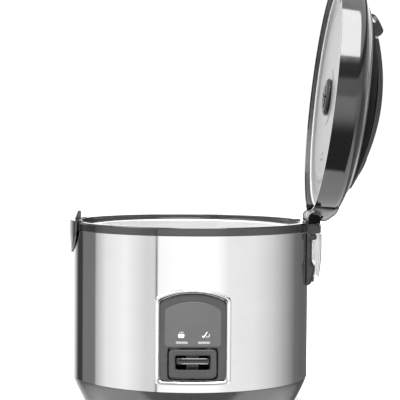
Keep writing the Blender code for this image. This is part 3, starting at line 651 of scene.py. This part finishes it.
def ring_on_wall(outer_line, inner_line, profile):
    """A frame on the wall: profile lists (share of its width, radius) round its section."""
    loops = [on_wall(shifted(outer_line, inner_line, share), r) for share, r in profile]
    return lofted(loops, closed=True)


def line_to(outline, centre, along):
    """What an outline narrows to: a short level line, so that a plate's face stays even."""
    middle, height = centre
    return [(middle + max(-along, min(along, (x - middle) * 0.3)), height) for x, _ in outline]


def panel():
    bulge = [(0, 127.6), (0, 128.4), (0.06, 129.3), (0.2, 130), (0.4, 130.35), (0.6, 130.3),
             (0.8, 129.9), (0.94, 129.2), (1, 128.4), (1, 127.6), (0.5, 127.6)]
    bm = ring_on_wall(arched(**BEZEL), arched(**OPENING), bulge)
    on_body("bezel", bm, "chrome", "panel_bezel", "chrome_trim", sharp=60)

    outline = arched(**PANEL)
    hole = nearest_on_box(outline, (0, SWITCH_Z), 51.4 / 2, 32.8 / 2, 4)
    section = [(0, 124.5), (0, 127.7), (0.02, 128.1), (0.06, 128.3)]
    section += [(0.06 + 0.9 * i / 14, 128.3) for i in range(1, 15)]
    section += [(0.985, 128.15), (1, 127.9), (1, 124.5)]
    section += [(1 - i / 10, 124.5) for i in range(1, 10)]
    on_body("panel_face", ring_on_wall(outline, hole, section), "panel", "panel_plate")

    outline = arched(**LABEL)
    middle = line_to(outline, (0, 107), 12)
    on_body("label_face", plate_on_wall(outline, middle, 128.35, LABEL_FACE, 0.7), "label",
            "label_plate", "label_grey")
    for name, x, slot in (("cook", 11, "amber_lens"), ("warm", -11, "green_lens")):
        bar = rounded_box(12, 2.4, 1, (x, LAMP_Z), 6, 8)
        middle = line_to(bar, (x, LAMP_Z), 5)
        on_body(f"lens_{name}", plate_on_wall(bar, middle, 129.2, 129.65, 0.3), "lens",
                f"lamp_{name}", slot)
    printed_signs()


def nearest_on_box(outline, centre, half_x, half_z, corner):
    """Points of a rounded rectangle in the same directions from its centre as an outline's."""
    points = []
    cx, cz = half_x - corner, half_z - corner
    for x, z in outline:
        dx, dz = x - centre[0], z - centre[1]
        scale = 1 / max(abs(dx) / half_x, abs(dz) / half_z)
        px, pz = dx * scale, dz * scale
        ox, oz = abs(px) - cx, abs(pz) - cz
        if min(ox, oz) > 0:
            share = corner / hypot(ox, oz)
            px, pz = copysign(cx + ox * share, px), copysign(cz + oz * share, pz)
        points.append((centre[0] + px, centre[1] + pz))
    return points


def flat_sign(outline, x, z):
    """A thin printed shape on the label."""
    line = [(x + a, z + b) for a, b in outline]
    return lofted([on_wall(line, LABEL_FACE + lift) for lift in (0.01, 0.06)])


def printed_signs():
    """A pot with steam over one lamp, and a tick with an open ring over the other."""
    low, left, right = 94.6, -11.6, 12.2
    shapes = [[(-2.9, 3.2), (2.9, 3.2), (2.8, 0.3), (2.4, -0.3), (-2.4, -0.3), (-2.8, 0.3)]]
    for side in (-1, 1):
        ear = [(side * 2.8, 3.2), (side * 3.4, 3.2), (side * 3.4, 2.7), (side * 2.85, 2.7)]
        shapes.append(ear[::side])
    wisp = [(-0.2, 4), (0.2, 4), (0.5, 4.9), (0.2, 5.8), (-0.2, 5.8), (0.1, 4.9)]
    shapes += [[(shift + a, b) for a, b in wisp] for shift in (-1.5, 0, 1.5)]
    parts = [flat_sign(shape, left, low) for shape in shapes]
    tick = [(-3.4, 1.5), (-2.5, 2), (-1.6, 0.9), (1.6, 5.9), (2.3, 5.5), (-1.4, -0.4)]
    drop = arc((2.5, 2), 1.9, -170, 60, 14) + arc((2.5, 2), 1.45, 60, -170, 14)
    parts += [flat_sign(shape, right, low) for shape in (tick, drop)]
    on_body("signs", joined(*parts), "print", "", "label_grey")


def switch():
    outline = rounded_box(48, 29.2, 4.4, (0, SWITCH_Z), 8, 16)
    slot = nearest_on_box(outline, (0, SLOT_Z), 34.8 / 2, 7, 1.6)
    section = [(0, 124), (0, 128.3), (0.05, 128.8), (0.12, 129.1), (0.2, 129.2)]
    section += [(0.2 + 0.62 * i / 6, 129.2 - 0.25 * i / 6) for i in range(1, 7)]
    section += [(0.9, 128.7), (0.96, 128.3), (1, 127.7), (1, 124), (0.5, 124)]
    on_body("slot_frame", ring_on_wall(outline, slot, section), "panel", "switch_frame")
    back = block((-19.2, -122, 59.5), (19.2, -114.4, 78.2))
    back = cut(back, block((-18.3, -123, 60.4), (18.3, -115.2, 77.3)),
               block((-6.4, -118, 58), (6.4, -113, 77.3)))
    on_body("slot_back", back, "matt", "switch_frame", bevel=0.15)
    paddle = rounded([
        (-116, 68, 0.2), (-130.9, 68, 0.6), (-131.9, 69, 0.4), (-131.9, 72.6, 0.2),
        (-131, 73.85, 0.25), (-126, 73.6, 1), (-124, 73.8, 1), (-116, 74, 0.2),
    ], 0.4, 5)
    ends = (-16.2, -15.9, -15.3, -8, 0, 8, 15.3, 15.9, 16.2)
    scale = (0.88, 0.96, 1, 1, 1, 1, 1, 0.96, 0.88)
    loops = [[(x, -123 + (a + 123) * s, 71 + (b - 71) * s) for a, b in paddle]
             for x, s in zip(ends, scale)]
    piece("paddle", lofted(loops), BODY, "switch_lever", "lever", "lever_paddle", "black_plastic")


# ---- latch, hinge, cup


def wrapped(profile, half, ends=0.12, low_r=127.9, steps=40, narrow=None, middle=0):
    """A profile of (radius, height) swept round the wall, with its outer side rounded off
    towards both ends; narrow may pull its lower part together like a shield."""
    loops = []
    for i in range(steps + 1):
        s = -cos(pi * i / steps)
        t = max(0, (abs(s) - (1 - ends)) / ends)
        keep = max(0.25, max(0, 1 - t * t) ** 0.5)
        loop = []
        for r, z in profile:
            a = half * s * (narrow(z) if narrow else 1)
            radius = low_r + (r - low_r) * keep if r > low_r else r
            loop.append((radius * cos(a + middle), radius * sin(a + middle), z))
        loops.append(loop)
    return lofted(loops)


def latch():
    def pull(z):
        down = clamp((198 - z) / 28)
        return max(0.12, 1 - down**2.2) ** 0.75

    heights = [170 + 36.4 * i / 24 for i in range(25)]
    outer = [(128.6 + 2.4 * (min(1, (z - 170) / 22)) ** 0.6, z) for z in heights]
    inner = [(128, z) for z in heights[::-1]]
    shield = wrapped(inner[1:] + outer, LATCH_SPREAD, 0.1, 128, 56, pull, pi)
    flange = rounded([(121.2, 206.2), (131, 206.3), (131, 205.2), (121.2, 205.3)], 0.35)
    top = turned(flange, 48, pi - LATCH_SPREAD, 2 * LATCH_SPREAD)
    hook = rounded([
        (-125.2, 205.6, 0.2), (-121.9, 215.2, 0.6), (-119.8, 215.4, 0.6), (-119.2, 214.4, 0.5),
        (-119.2, 213.2, 0.5), (-121.5, 212.6, 0.5), (-121.6, 205.6, 0.2),
    ], 0.3)
    cheek = rounded([
        (-125.2, 205.6, 0.2), (-121.9, 215.3, 0.6), (-119.8, 215.4, 0.6), (-119.2, 214.2, 0.5),
        (-119.2, 205.8, 0.2),
    ], 0.3)
    bm = shaped(shaped(shield, top, "UNION"), prism(hook, -8, 8, along_y), "UNION")
    for low in (-8.2, 6.5):
        bm = shaped(bm, prism(cheek, low, low + 1.7, along_y), "UNION")
    on_body("latch_shield", bm, "smoke", "latch_bracket", bevel=0.3)


def hinge():
    """The bracket under the hinge, the block over it, the two ears, their springs and the pin."""
    centre = (HINGE_X, HINGE_Z)
    bracket = rounded([
        (127.9, 193.2, 0.1), (137, 191.9, 1.2), (137, 186.9, 0.8), (132.6, 185.8, 1.2),
        (132.5, 164.5, 4), (135.6, 158.8, 3), (135.8, 154.6, 3), (133.6, 145, 4),
        (131.4, 138.4, 1.6), (127.9, 137.4, 0.1),
    ], 0.8, 6)
    bosses = joined(*[disc(3.2, 120, 132.6, along_x, (y, 143.5), 32) for y in (-20, 20)])
    bosses = shaped(bosses, disc(127.85, 100, 200, steps=192))
    bm = shaped(wrapped(bracket, SPREAD, 0.07, 127.9, 48), bosses, "UNION")
    # the bracket takes the smoke paint darkened as painted shade
    on_body("hinge_shield", bm, "deep", "hinge_bracket")

    top = rounded([
        (118.5, 203.6, 0.3), (140, 203.6, 1.6), (141.3, 202.2, 1.4), (141.3, 193.8, 0.4),
        (127.9, 193.8, 0.2), (127.9, 199.4, 0.1), (118.5, 199.4, 0.2),
    ], 0.5, 5)
    bm = shaped(wrapped(top, SPREAD, 0.05, 127.9, 40),
                disc(6.8, -24.4, 24.4, along_y, centre, 64))
    # the block takes the same darkened smoke paint, as painted shade
    on_body("hinge_rest", bm, "deep", "hinge_block")

    ear = arc(centre, 6.4, -10, 195, 40) + [(HINGE_X - 6.2, 203.9), (HINGE_X + 6, 203.9)]
    spans = ((24.6, 33), (23.6, 32.2), (9, 15))
    for name, side in (("front", -1), ("back", 1)):
        ends, bore, wire = [sorted((side * near, side * far)) for near, far in spans]
        bm = shaped(prism(ear, *ends, along_y), disc(2.9, *bore, along_y, centre, 48))
        on_body(f"ear_{name}", bm, "matt", f"hinge_bearing_{name}", "black_plastic", 0.6)
        coil(f"hinge_coil_{name}", "cooker_body", f"hinge_spring_{name}", BODY, 4.3, 1.2, 3.5,
             *wire, along_y, centre)
    rod = [(0, -32), (2.1, -32, 0.4), (2.5, -31.6, 0.4), (2.5, 31.6, 0.4), (2.1, 32, 0.4),
           (0, 32)]
    lay = Matrix.Translation((HINGE_X, 0, HINGE_Z)) @ Matrix.Rotation(-pi / 2, 4, "X")
    piece("hinge_rod", turned(rounded(rod, 0.3), 48), BODY @ lay, "cooker_body", "wire",
          "hinge_pin", "plain_steel")


def cup():
    outside = rounded([
        (142.2, 192.5, 0.4), (142.2, 172, 6), (141.4, 158, 6), (139.4, 145.4, 1.6),
        (137, 143.6, 1.2), (135.4, 145, 1.2), (136.4, 153.5, 3), (136.4, 160, 2), (133, 165.4, 2),
        (133, 184, 0.3), (139.6, 184, 0.1), (139.6, 192.5, 0.2),
    ], 0.5, 6)
    inside = rounded([
        (140.8, 195, 0), (140.8, 172.2, 6), (140, 158.4, 6), (138.6, 148, 0.6), (137.4, 148, 0.6),
        (137.8, 153.5, 3), (137.8, 160.6, 2), (134.4, 166, 2), (134.4, 195, 0),
    ], 0.5, 6)
    bm = shaped(turned(outside, 40, -radians(14), radians(28)),
                turned(inside, 40, -radians(13.4), radians(26.8)))
    obj = piece("cup", bm, BODY, "dew_collector", "clear", "dew_collector", "clear_plastic", 0.25)
    obj.visible_glossy = False


# ---- lid


def dome(u, v):
    return COVER_APEX - (COVER_APEX - COVER_EDGE) * (u * u + v * v) / COVER_R**2


def cap_top(u):
    return CAP_APEX - CAP_DROP * (u / CAP_RUN) ** 2


def well(u, v):
    """The cover's height, with a smooth lip where a finger well begins."""
    rest = 1 - (u / WELL_RUN) ** 2 - ((abs(v) - WELL_SIDE) / WELL_REACH) ** 2
    if abs(v) <= WELL_SIDE or rest <= 0:
        return dome(u, v)
    deep = WELL_TOP - WELL_DEEP * rest**0.5
    over = dome(u, v)
    soft = 2
    h = max(0, soft - abs(over - deep)) / soft
    return min(over, deep) - h * h * soft / 4


def vent_turn():
    slope = atan(2 * CAP_DROP * VENT_U / CAP_RUN**2)
    return Matrix.Translation((VENT_U, 0, cap_top(VENT_U) + 0.6)) @ Matrix.Rotation(slope, 4, "Y")


def vent_hole():
    return moved(disc(VENT_R + 0.5, -24, 6, steps=64), vent_turn())


def lid_outside():
    """The lid's rim and wall, with room for the hinge and the latch, and the trim ring."""
    outline = [
        (127.6, 0, 0.5), (127.5, 8, 1), (127.2, 15, 2), (126.9, 22.2, 5), (124.2, 26.8, 5),
        (115.6, 30.7, 6), (104.9, 34, 0.5), (104.8, 32.6, 0.2), (94, 32.6, 0.2), (94, 30.2, 0.2),
        (104.2, 30.2, 2), (114.6, 27, 3), (122.2, 23, 3), (124.2, 18.6, 3), (124.6, 0),
    ]
    flange = [(116, 1.4), (132, 1.4), (132, -2), (116, -2)]
    room = LATCH_SPREAD + radians(0.7)
    bm = cut(turned(rounded(outline, 0.4, 8)), block(*HINGE_ROOM),
             turned(flange, 24, pi - room, 2 * room), block((-126, -9.5, -2), (-110, 9.5, 13)))
    on_lid("lid_skin", bm, "smoke", "lid_shell")

    ring_line = [(98.4, 32.9, 0.2), (104.5, 32.9, 0.3), (104.3, 35, 0.8), (101.6, 36.8, 1.4),
                 (98.5, 37.4, 0.6)]
    on_lid("trim", turned(rounded(ring_line, 0.4, 6)), "dull_chrome", "trim_ring", "chrome_trim")


def lid_inside():
    """The lid's inner frame, and the lift-out plate with its seal and the holder in its middle."""
    outline = [
        (0, 10.4), (124.2, 10.4, 0.4), (124.2, 1.6, 0.5), (121.8, 1.6, 0.5), (121.6, 6.4, 1.4),
        (120.2, 8.4, 1.4), (112, 8.4, 0.5), (111.4, 7.9, 0.4), (108.4, 7.9, 0.4),
        (107.8, 8.4, 0.5), (10, 8.4), (10, 7.5), (4, 7.5), (4, 2, 0.5), (0, 2),
    ]
    bm = cut(turned(rounded(outline, 0.4, 5)), block(*HINGE_ROOM),
             block((-127, -9.5, -2), (-108, 9.5, 13)), disc(6, 5, 13, centre=(62, 0)))
    bm = shaped(bm, block((-58, -7, 9.4), (-54, 7, 25)), "UNION")
    on_lid("lid_frame", bm, "lining", "lid_lining")

    plate = [
        (5, 6.4, 0.1), (22, 6.4, 0.4), (22.6, 6, 0.4), (30, 6, 0.4), (30.6, 6.4, 0.4),
        (84, 6.4, 2), (86, 5.9, 1), (92, 5.9, 1), (94, 6.4, 2), (111, 6.4, 1), (114.9, 5.2, 0.3),
        (115.5, 5.9, 0.3), (111.3, 7.2, 1), (94, 7.2, 1), (30.6, 7.2, 0.3), (5, 7.2, 0.1),
    ]
    holes = [disc(2.2, 3, 9, centre=(62 + dx, dy)) for dx, dy in ((0, 0), (6, 6), (6, -6))]
    bm = turned(rounded(plate, 0.3, 4))
    notch_start, notch_half, notch_depth = -107, 15, 9
    for vert in bm.verts:
        x, y, _ = vert.co
        if x < notch_start and abs(y) < notch_half:
            inward = 1 + notch_depth / x
            vert.co *= Vector((inward, inward, 1))
    deeper = LID @ Matrix.Translation((0, 0, 0.8))
    # the lid's plate takes the darkened aluminium, as painted shade
    piece("lid_plate", shaped(bm, joined(*holes)), deeper, "inner_lid", "shaded_lid_sheet", "inner_lid",
          "satin_aluminium")

    seal = [
        (116.3, 4.8, 0.4), (116.3, 7.2, 0.3), (119.2, 7.2, 0.4), (120, 5.8, 0.6),
        (118.8, 4.3, 0.6), (117, 4.1, 0.6),
    ]
    half = pi - radians(6.5)
    piece("seal", turned(rounded(seal, 0.4, 5), ROUND, -half, 2 * half), deeper, "inner_lid",
          "silicone", "inner_lid_gasket", "clear_silicone")

    knob = [(4.6, 1.4, 0.3), (4.6, 6.1, 0.2), (20, 6.1, 0.4), (20, 4.4, 0.6), (17, 2.6, 1.2),
            (12, 2.4, 0.6), (11.4, 1.4, 0.6), (8, 1.4, 0.4)]
    slots = [block((-1.1, y, 0), (1.1, y + 15.8, 3.4)) for y in (6.2, -22)]
    bm = shaped(turned(rounded(knob, 0.3, 5), COARSE), joined(*slots))
    piece("grommet", bm, LID, "inner_lid", "satin", "inner_lid_grommet", "black_plastic")


def lid_top():
    """The dome with its finger wells; its rows lie closest where a well's lip begins."""
    lip, far = 0.6, 43
    half_rows = [0, 6, 12, 16, 17.2, 17.8]
    half_rows += [WELL_SIDE + lip * share for share in (0, 0.25, 0.5, 0.75, 1)]
    half_rows += [19, 19.8] + [21 + 1.4 * i for i in range(36)]
    half_rows += [72, 75, 79, 83, 87, 90, 93, 95.5, 97.2, COVER_R - 0.02]
    upper, lower = [], []
    for v in [-row for row in half_rows[:0:-1]] + half_rows:
        reach = (COVER_R**2 - v * v) ** 0.5
        inward = SKIN * clamp((far - abs(v)) / (far - WELL_SIDE))
        v_in = v - copysign(inward, v) if v else v
        columns = [-reach * cos(pi * i / 110) for i in range(111)]
        share = clamp((abs(v) - WELL_SIDE) / lip)
        floor_v = copysign(max(abs(v), WELL_SIDE + lip), v)
        heights = [dome(u, v) * (1 - share) + well(u, floor_v) * share for u in columns]
        upper.append([(u, v, h) for u, h in zip(columns, heights)])
        lower.append([(u, v_in, h - SKIN) for u, h in zip(columns, heights)])
    half = BUTTON_HALF + 0.5
    button_hole = block((BUTTON_OUT - 0.5, -half, 20), (BUTTON_IN + 0.5, half, 70))
    bm = cut(between(upper, lower), button_hole, vent_hole())
    on_lid("lid_dome", bm, "matt", "lid_cover", sharp=32)


def grip():
    """The grip's cap: a long bar with two fine grooves down each side and one on each half."""
    side = [(0, 0.35), (0.22, 0), (0.34, 0), (0.38, 0.75), (0.46, 0.75), (0.5, 0),
            (0.66, 0), (0.7, 0.7), (0.77, 0.7), (0.81, 0.15), (0.93, 0.7), (1, 1.9)]
    top = [14, 12.6, 12.2, 11.4, 11, 9, 6, 3]
    groove = {12.2: 0.35, 11.4: 0.35}
    loops = []
    count, lift = 90, 0.3
    for i in range(count + 1):
        s = (1 - cos(pi * i / count)) / 2
        u = CAP_START + (CAP_END - CAP_START) * s
        near = min(u - CAP_START, CAP_END - u)
        keep = 1 - 0.22 * max(0, 1 - near / 2.2) ** 2
        half = CAP_HALF - 1.6 * max(0, 1 - near / 5) ** 2
        foot = dome(u, 0) + lift
        crown = foot + (cap_top(u) - foot) * keep
        loop = []
        for f, into in side:
            v = half - into
            low = dome(u, v) + lift
            loop.append((u, v, low + (cap_top(u) - 0.9 - low) * f * keep))
        for v in top:
            sink = 1.2 * (v / CAP_HALF) ** 4 + groove.get(v, 0)
            loop.append((u, v * half / CAP_HALF, crown - sink))
        under = [(u, w, dome(u, w) + lift) for w in (-10, -4, 4, 10)]
        loops.append(loop + [(u, 0, crown)] + [(a, -b, c) for a, b, c in loop[::-1]] + under)
    on_lid("grip", shaped(lofted(loops), vent_hole()), "smoke", "handle_cap", "black_plastic",
           sharp=30)


def button():
    """The wedge at the grip's end: it rises to a crest, and a gap runs across under it."""
    peak, crest, tail, under = -78, 57.3, 44.7, 36

    def height(u, v):
        if u < peak:
            rise = max(0, (u - BUTTON_OUT) / (peak - BUTTON_OUT))
            top = tail + (crest - tail) * rise**0.7
        else:
            top = crest - 4 * ((u - peak) / (BUTTON_IN - peak)) ** 2
        top -= 1.5 * (v / BUTTON_HALF) ** 4
        for near in (BUTTON_HALF - abs(v), u - BUTTON_OUT, BUTTON_IN - u):
            t = max(0, 1 - near / 1.4)
            top -= 1.3 * (1 - (1 - t * t) ** 0.5)
        return top

    us = [BUTTON_OUT + (BUTTON_IN - BUTTON_OUT) * (1 - cos(pi * i / 36)) / 2 for i in range(37)]
    vs = [-BUTTON_HALF * cos(pi * i / 30) for i in range(31)]
    upper = [[(u, v, height(u, v)) for v in vs] for u in us]
    lower = [[(u, v, under) for v in vs] for u in us]
    leg = [(-91.5, 37), (-91.5, 19), (-88.8, 19), (-74.4, 37)]
    bm = shaped(between(upper, lower), prism(leg, -4, 4, along_y), "UNION")
    gap = rounded([(-92.8, 40.6), (-91.8, 45.6), (-88.6, 49.2), (-84.4, 46.2), (-86, 42.4)], 0.5)
    bm = shaped(bm, prism(gap, -14, 14, along_y))
    piece("button", bm, LID, "release_button", "black", "release_button", "black_plastic",
          sharp=45)


def vent():
    outline = [
        (0, -0.9), (5.8, -0.9, 0.6), (6.8, 0, 0.8), (VENT_R - 0.8, 0, 0.5), (VENT_R, -0.7, 0.5),
        (VENT_R, -3, 0.3), (9, -3, 0.2), (9, -13, 0.3), (7.6, -13, 0.3), (7.6, -3, 0.2), (0, -3),
    ]
    slots = [prism(rounded_box(10, 1.6, 0.7, (0, y), 5, 2), -5, 2, along_z) for y in (-2.6, 2.6)]
    bm = shaped(turned(rounded(outline, 0.3, 5), COARSE), joined(*slots))
    piece("vent", bm, LID @ vent_turn(), "steam_vent_cap", "black", "steam_vent_cap",
          "black_plastic")


def hinge_leaf():
    """The lid's half of the hinge, the curved hood over it, and the latch spring."""
    height = HINGE_Z - LID_RIM_Z
    knuckle = arc((HINGE_X, height), 6.2, 90, -180, 48)
    outline = [(98, 10.8), (98, 13.6), (122, 13.6)] + knuckle + [(119.6, 8), (119.6, 10.8)]
    bore = disc(2.9, -26, 26, along_y, (HINGE_X, height), 48)
    bm = shaped(prism(outline, -24, 24, along_y), bore)
    rooms = [block((121.8, low, -8), (142, low + 8, 16)) for low in (8, -16)]
    bm = shaped(bm, joined(*rooms))
    on_lid("hinge_leaf", bm, "dull_chrome", "lid_hinge_arm", "plain_steel", 0.4)

    spread, bulge, shoulder, crown = radians(22), 5, 17, 26.6
    section = rounded([
        (127.8, 1, 0.2), (129, 1, 0.5), (129.6, 2.5, 0.8), (129.6, shoulder, 3), (129.3, 21.5, 2),
        (128.4, 24.8, 1.5), (126.8, crown, 0.6), (125.5, 25.8, 0.4), (126.2, 24.4, 1),
        (127.4, 21.2, 1.5), (127.8, 14, 2),
    ], 0.4, 5)
    bm = turned(section, 64, -spread, 2 * spread)
    for vert in bm.verts:
        r = hypot(vert.co.x, vert.co.y)
        a = asin(vert.co.y / r)
        fade = clamp((crown - vert.co.z) / (crown - shoulder))
        fade = fade * fade * (3 - 2 * fade)
        end = max(0, 1 - (spread - abs(a)) / radians(1.2))
        grow = 1 + (bulge * cos(pi / 2 * a / spread) * fade - 1.2 * end**2 * (r > 127.9)) / r
        vert.co *= Vector((grow, grow, 1))
    bm = shaped(bm, block((119, -34.6, -1), (140, 34.6, 12.4)))
    on_lid("hinge_hood", bm, "hood", "hinge_cover")
    coil("latch_coil", "lid", "latch_spring", LID, 3.6, 0.9, 5, -77, -58.8, along_x, (0, 19.5))


# ---- solids kept as they are


def kept_solids():
    """The small solids whose shape is right already: their finish only."""
    looks = {
        "satin": "inlet_socket latch_slide microswitch magnet_plunger lever_bracket",
        "brass": "inlet_pin_line inlet_pin_neutral inlet_pin_earth",
        "wire": "lever_arm lever_pin heating_element thermostat_seat",
        "foil": "keep_warm_band",
        "silicone": "thermal_fuse",
    }
    for look, names in looks.items():
        for name in names.split():
            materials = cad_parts[name].data.materials
            materials.clear()
            materials.append(LOOKS[look])


# ---- studio


def floor():
    """A large pale floor, left out of the gloss, which sees the lit room all round instead."""
    count, reach = 96, 9
    turns = [TURN * i / count for i in range(count)]
    mesh = bpy.data.meshes.new("floor")
    rim = [(AXIS_X + reach * cos(a), reach * sin(a), 0) for a in turns]
    mesh.from_pydata(rim, [], [list(range(count))])
    mesh.materials.append(finish("pale_floor", (0.86, 0.9), (0.6, 0.7), 0, 300, 2, 0.05, 0.1))
    obj = placed("floor", mesh)
    obj.visible_glossy = False


def ramped(tree, source, pairs, limit):
    """A brightness that follows an angle through (degrees, value) pairs, -limit to limit."""
    angle = mapped(tree, source, 0, 1, -radians(limit), radians(limit))
    made = node(tree, "ValToRGB", {"Fac": angle})
    elements = made.color_ramp.elements
    elements.remove(elements[0])
    for i, (degree, value) in enumerate(pairs):
        place = (degree + limit) / (2 * limit)
        element = elements[0] if i == 0 else elements.new(place)
        element.position = place
        element.color = opaque(value)
    return made.outputs["Color"]


def studio():
    """A lit room for the gloss and for the light on the object, and plain white for the camera.

    Its wall's brightness changes with the angle round the object: 0 is the front and 90 the
    right. Over it are a higher wall and a bright ceiling. Downwards the wall fades, then comes
    the ground, dark in front, with a bright patch straight below.
    """
    brightest, backdrop = 1.6, 1.05
    world = bpy.data.worlds.new("studio")
    bpy.context.scene.world = world
    world.use_nodes = True
    tree = world.node_tree
    tree.nodes.clear()
    split = node(tree, "SeparateXYZ", {0: node(tree, "TexCoord", {}).outputs["Generated"]})
    front = node(tree, "Math", {0: split.outputs["Y"], 1: -1}, operation="MULTIPLY")
    both = {0: split.outputs["X"], 1: front.outputs[0]}
    turn = node(tree, "Math", both, operation="ARCTAN2").outputs[0]
    rise = node(tree, "Math", {0: split.outputs["Z"]}, operation="ARCSINE").outputs[0]

    def round_about(*pairs):
        return ramped(tree, turn, [(angle, value / brightest) for angle, value in pairs], 180)

    def upwards(*pairs):
        return ramped(tree, rise, pairs, 90)

    def above(start, end):
        return upwards((-90, 0), (start, 0), (end, 1), (90, 1))

    def below(start, end):
        return upwards((-90, 1), (start, 1), (end, 0), (90, 0))

    wall = round_about(
        (-180, 1.1), (-158, 1), (-146, 0.25), (-142, 0.05), (-131, 0.05), (-129, 0.2),
        (-107, 0.2), (-104, 0.55), (-90, 0.95), (-66, 1.1), (-44, 0.8), (-34.4, 0.8),
        (-33.9, 0.12), (-32.9, 0.12), (-32.4, 1.15), (-8, 1.28), (22, 1.28), (36, 1),
        (62, 0.95), (84, 0.75), (104, 0.44), (122, 0.18), (138, 0.14), (178, 0.15), (179.5, 1.1))
    high_wall = round_about(
        (-180, 1.6), (-125, 1.6), (-112, 0.9), (-60, 0.9), (-30, 0.7), (60, 0.7), (112, 0.4),
        (150, 0.4), (165, 1.6), (180, 1.6))
    ground = round_about((-180, 1.5), (-60, 1.5), (-55, 0.02), (55, 0.02), (60, 1.5), (180, 1.5))
    ceiling = upwards((-90, 0.03125), (17, 0.03125), (30, 0.05), (37, 0.9), (70, 0.9), (90, 0.5))
    fade = upwards((-90, 0.4), (-33, 0.4), (-12, 1), (90, 1))
    seen = blended(tree, above(-1.5, 0.5), wall, high_wall)
    seen = blended(tree, fade, opaque(0), seen)
    seen = blended(tree, below(-35, -21), seen, ground)
    seen = blended(tree, below(-77, -74), seen, opaque(1))
    seen = blended(tree, above(15, 18), seen, ceiling)
    lit = node(tree, "Background", {"Color": seen, "Strength": brightest})
    plain = node(tree, "Background", {"Color": opaque(1), "Strength": backdrop})
    camera_ray = node(tree, "LightPath", {}).outputs["Is Camera Ray"]
    choose = node(tree, "MixShader", {0: camera_ray, 1: lit.outputs[0], 2: plain.outputs[0]})
    node(tree, "OutputWorld", {"Surface": choose.outputs[0]})
    bpy.context.scene.view_settings.view_transform = "Standard"


def lights():
    """A near softbox in front, a weak one on the left, and a soft wash from above."""
    softbox("key", (0.13, -0.598, 1.509), (0.09, 0.019, 0.449), 0.92, 1.28, 26)
    softbox("fill", (-1.1, -0.5, 1.1), (0, 0, 0.2), 0.9, 0.9, 9)
    wash = bpy.data.lights.new("wash", "SUN")
    wash.energy = 2
    wash.angle = radians(60)
    obj = placed("wash", wash)
    obj.rotation_euler = (radians(12), radians(-8), 0)
    obj.visible_glossy = False


def softbox(name, place, aim, width, height, power):
    light = bpy.data.lights.new(name, "AREA")
    light.shape = "RECTANGLE"
    light.size, light.size_y = width, height
    light.energy = power
    obj = placed(name, light)
    obj.location = place
    obj.rotation_euler = (Vector(aim) - Vector(place)).to_track_quat("-Z", "Y").to_euler()


def camera():
    """The lens stands in front, a little aside, and looks slightly down; lengths in metres."""
    away, height, aside = 1.632, 0.302, radians(1.4)
    down, right, roll = radians(2.627), radians(0.354), radians(0.4)
    field = radians(15.15)
    lens = bpy.data.cameras.new("camera")
    lens.sensor_width = 36
    lens.lens = lens.sensor_width / 2 / tan(field / 2)
    obj = placed("camera", lens)
    obj.location = (AXIS_X - away * sin(aside), -away * cos(aside), height)
    look = Matrix.Rotation(-aside - right, 4, "Z") @ Matrix.Rotation(pi / 2 - down, 4, "X")
    obj.rotation_euler = (look @ Matrix.Rotation(roll, 4, "Z")).to_euler()
    bpy.context.scene.camera = obj


camera()
outer_shell()
base()
ring()
inside_body()
pot()
panel()
switch()
latch()
hinge()
cup()
lid_outside()
lid_inside()
lid_top()
grip()
button()
vent()
hinge_leaf()
kept_solids()
floor()
studio()
lights()
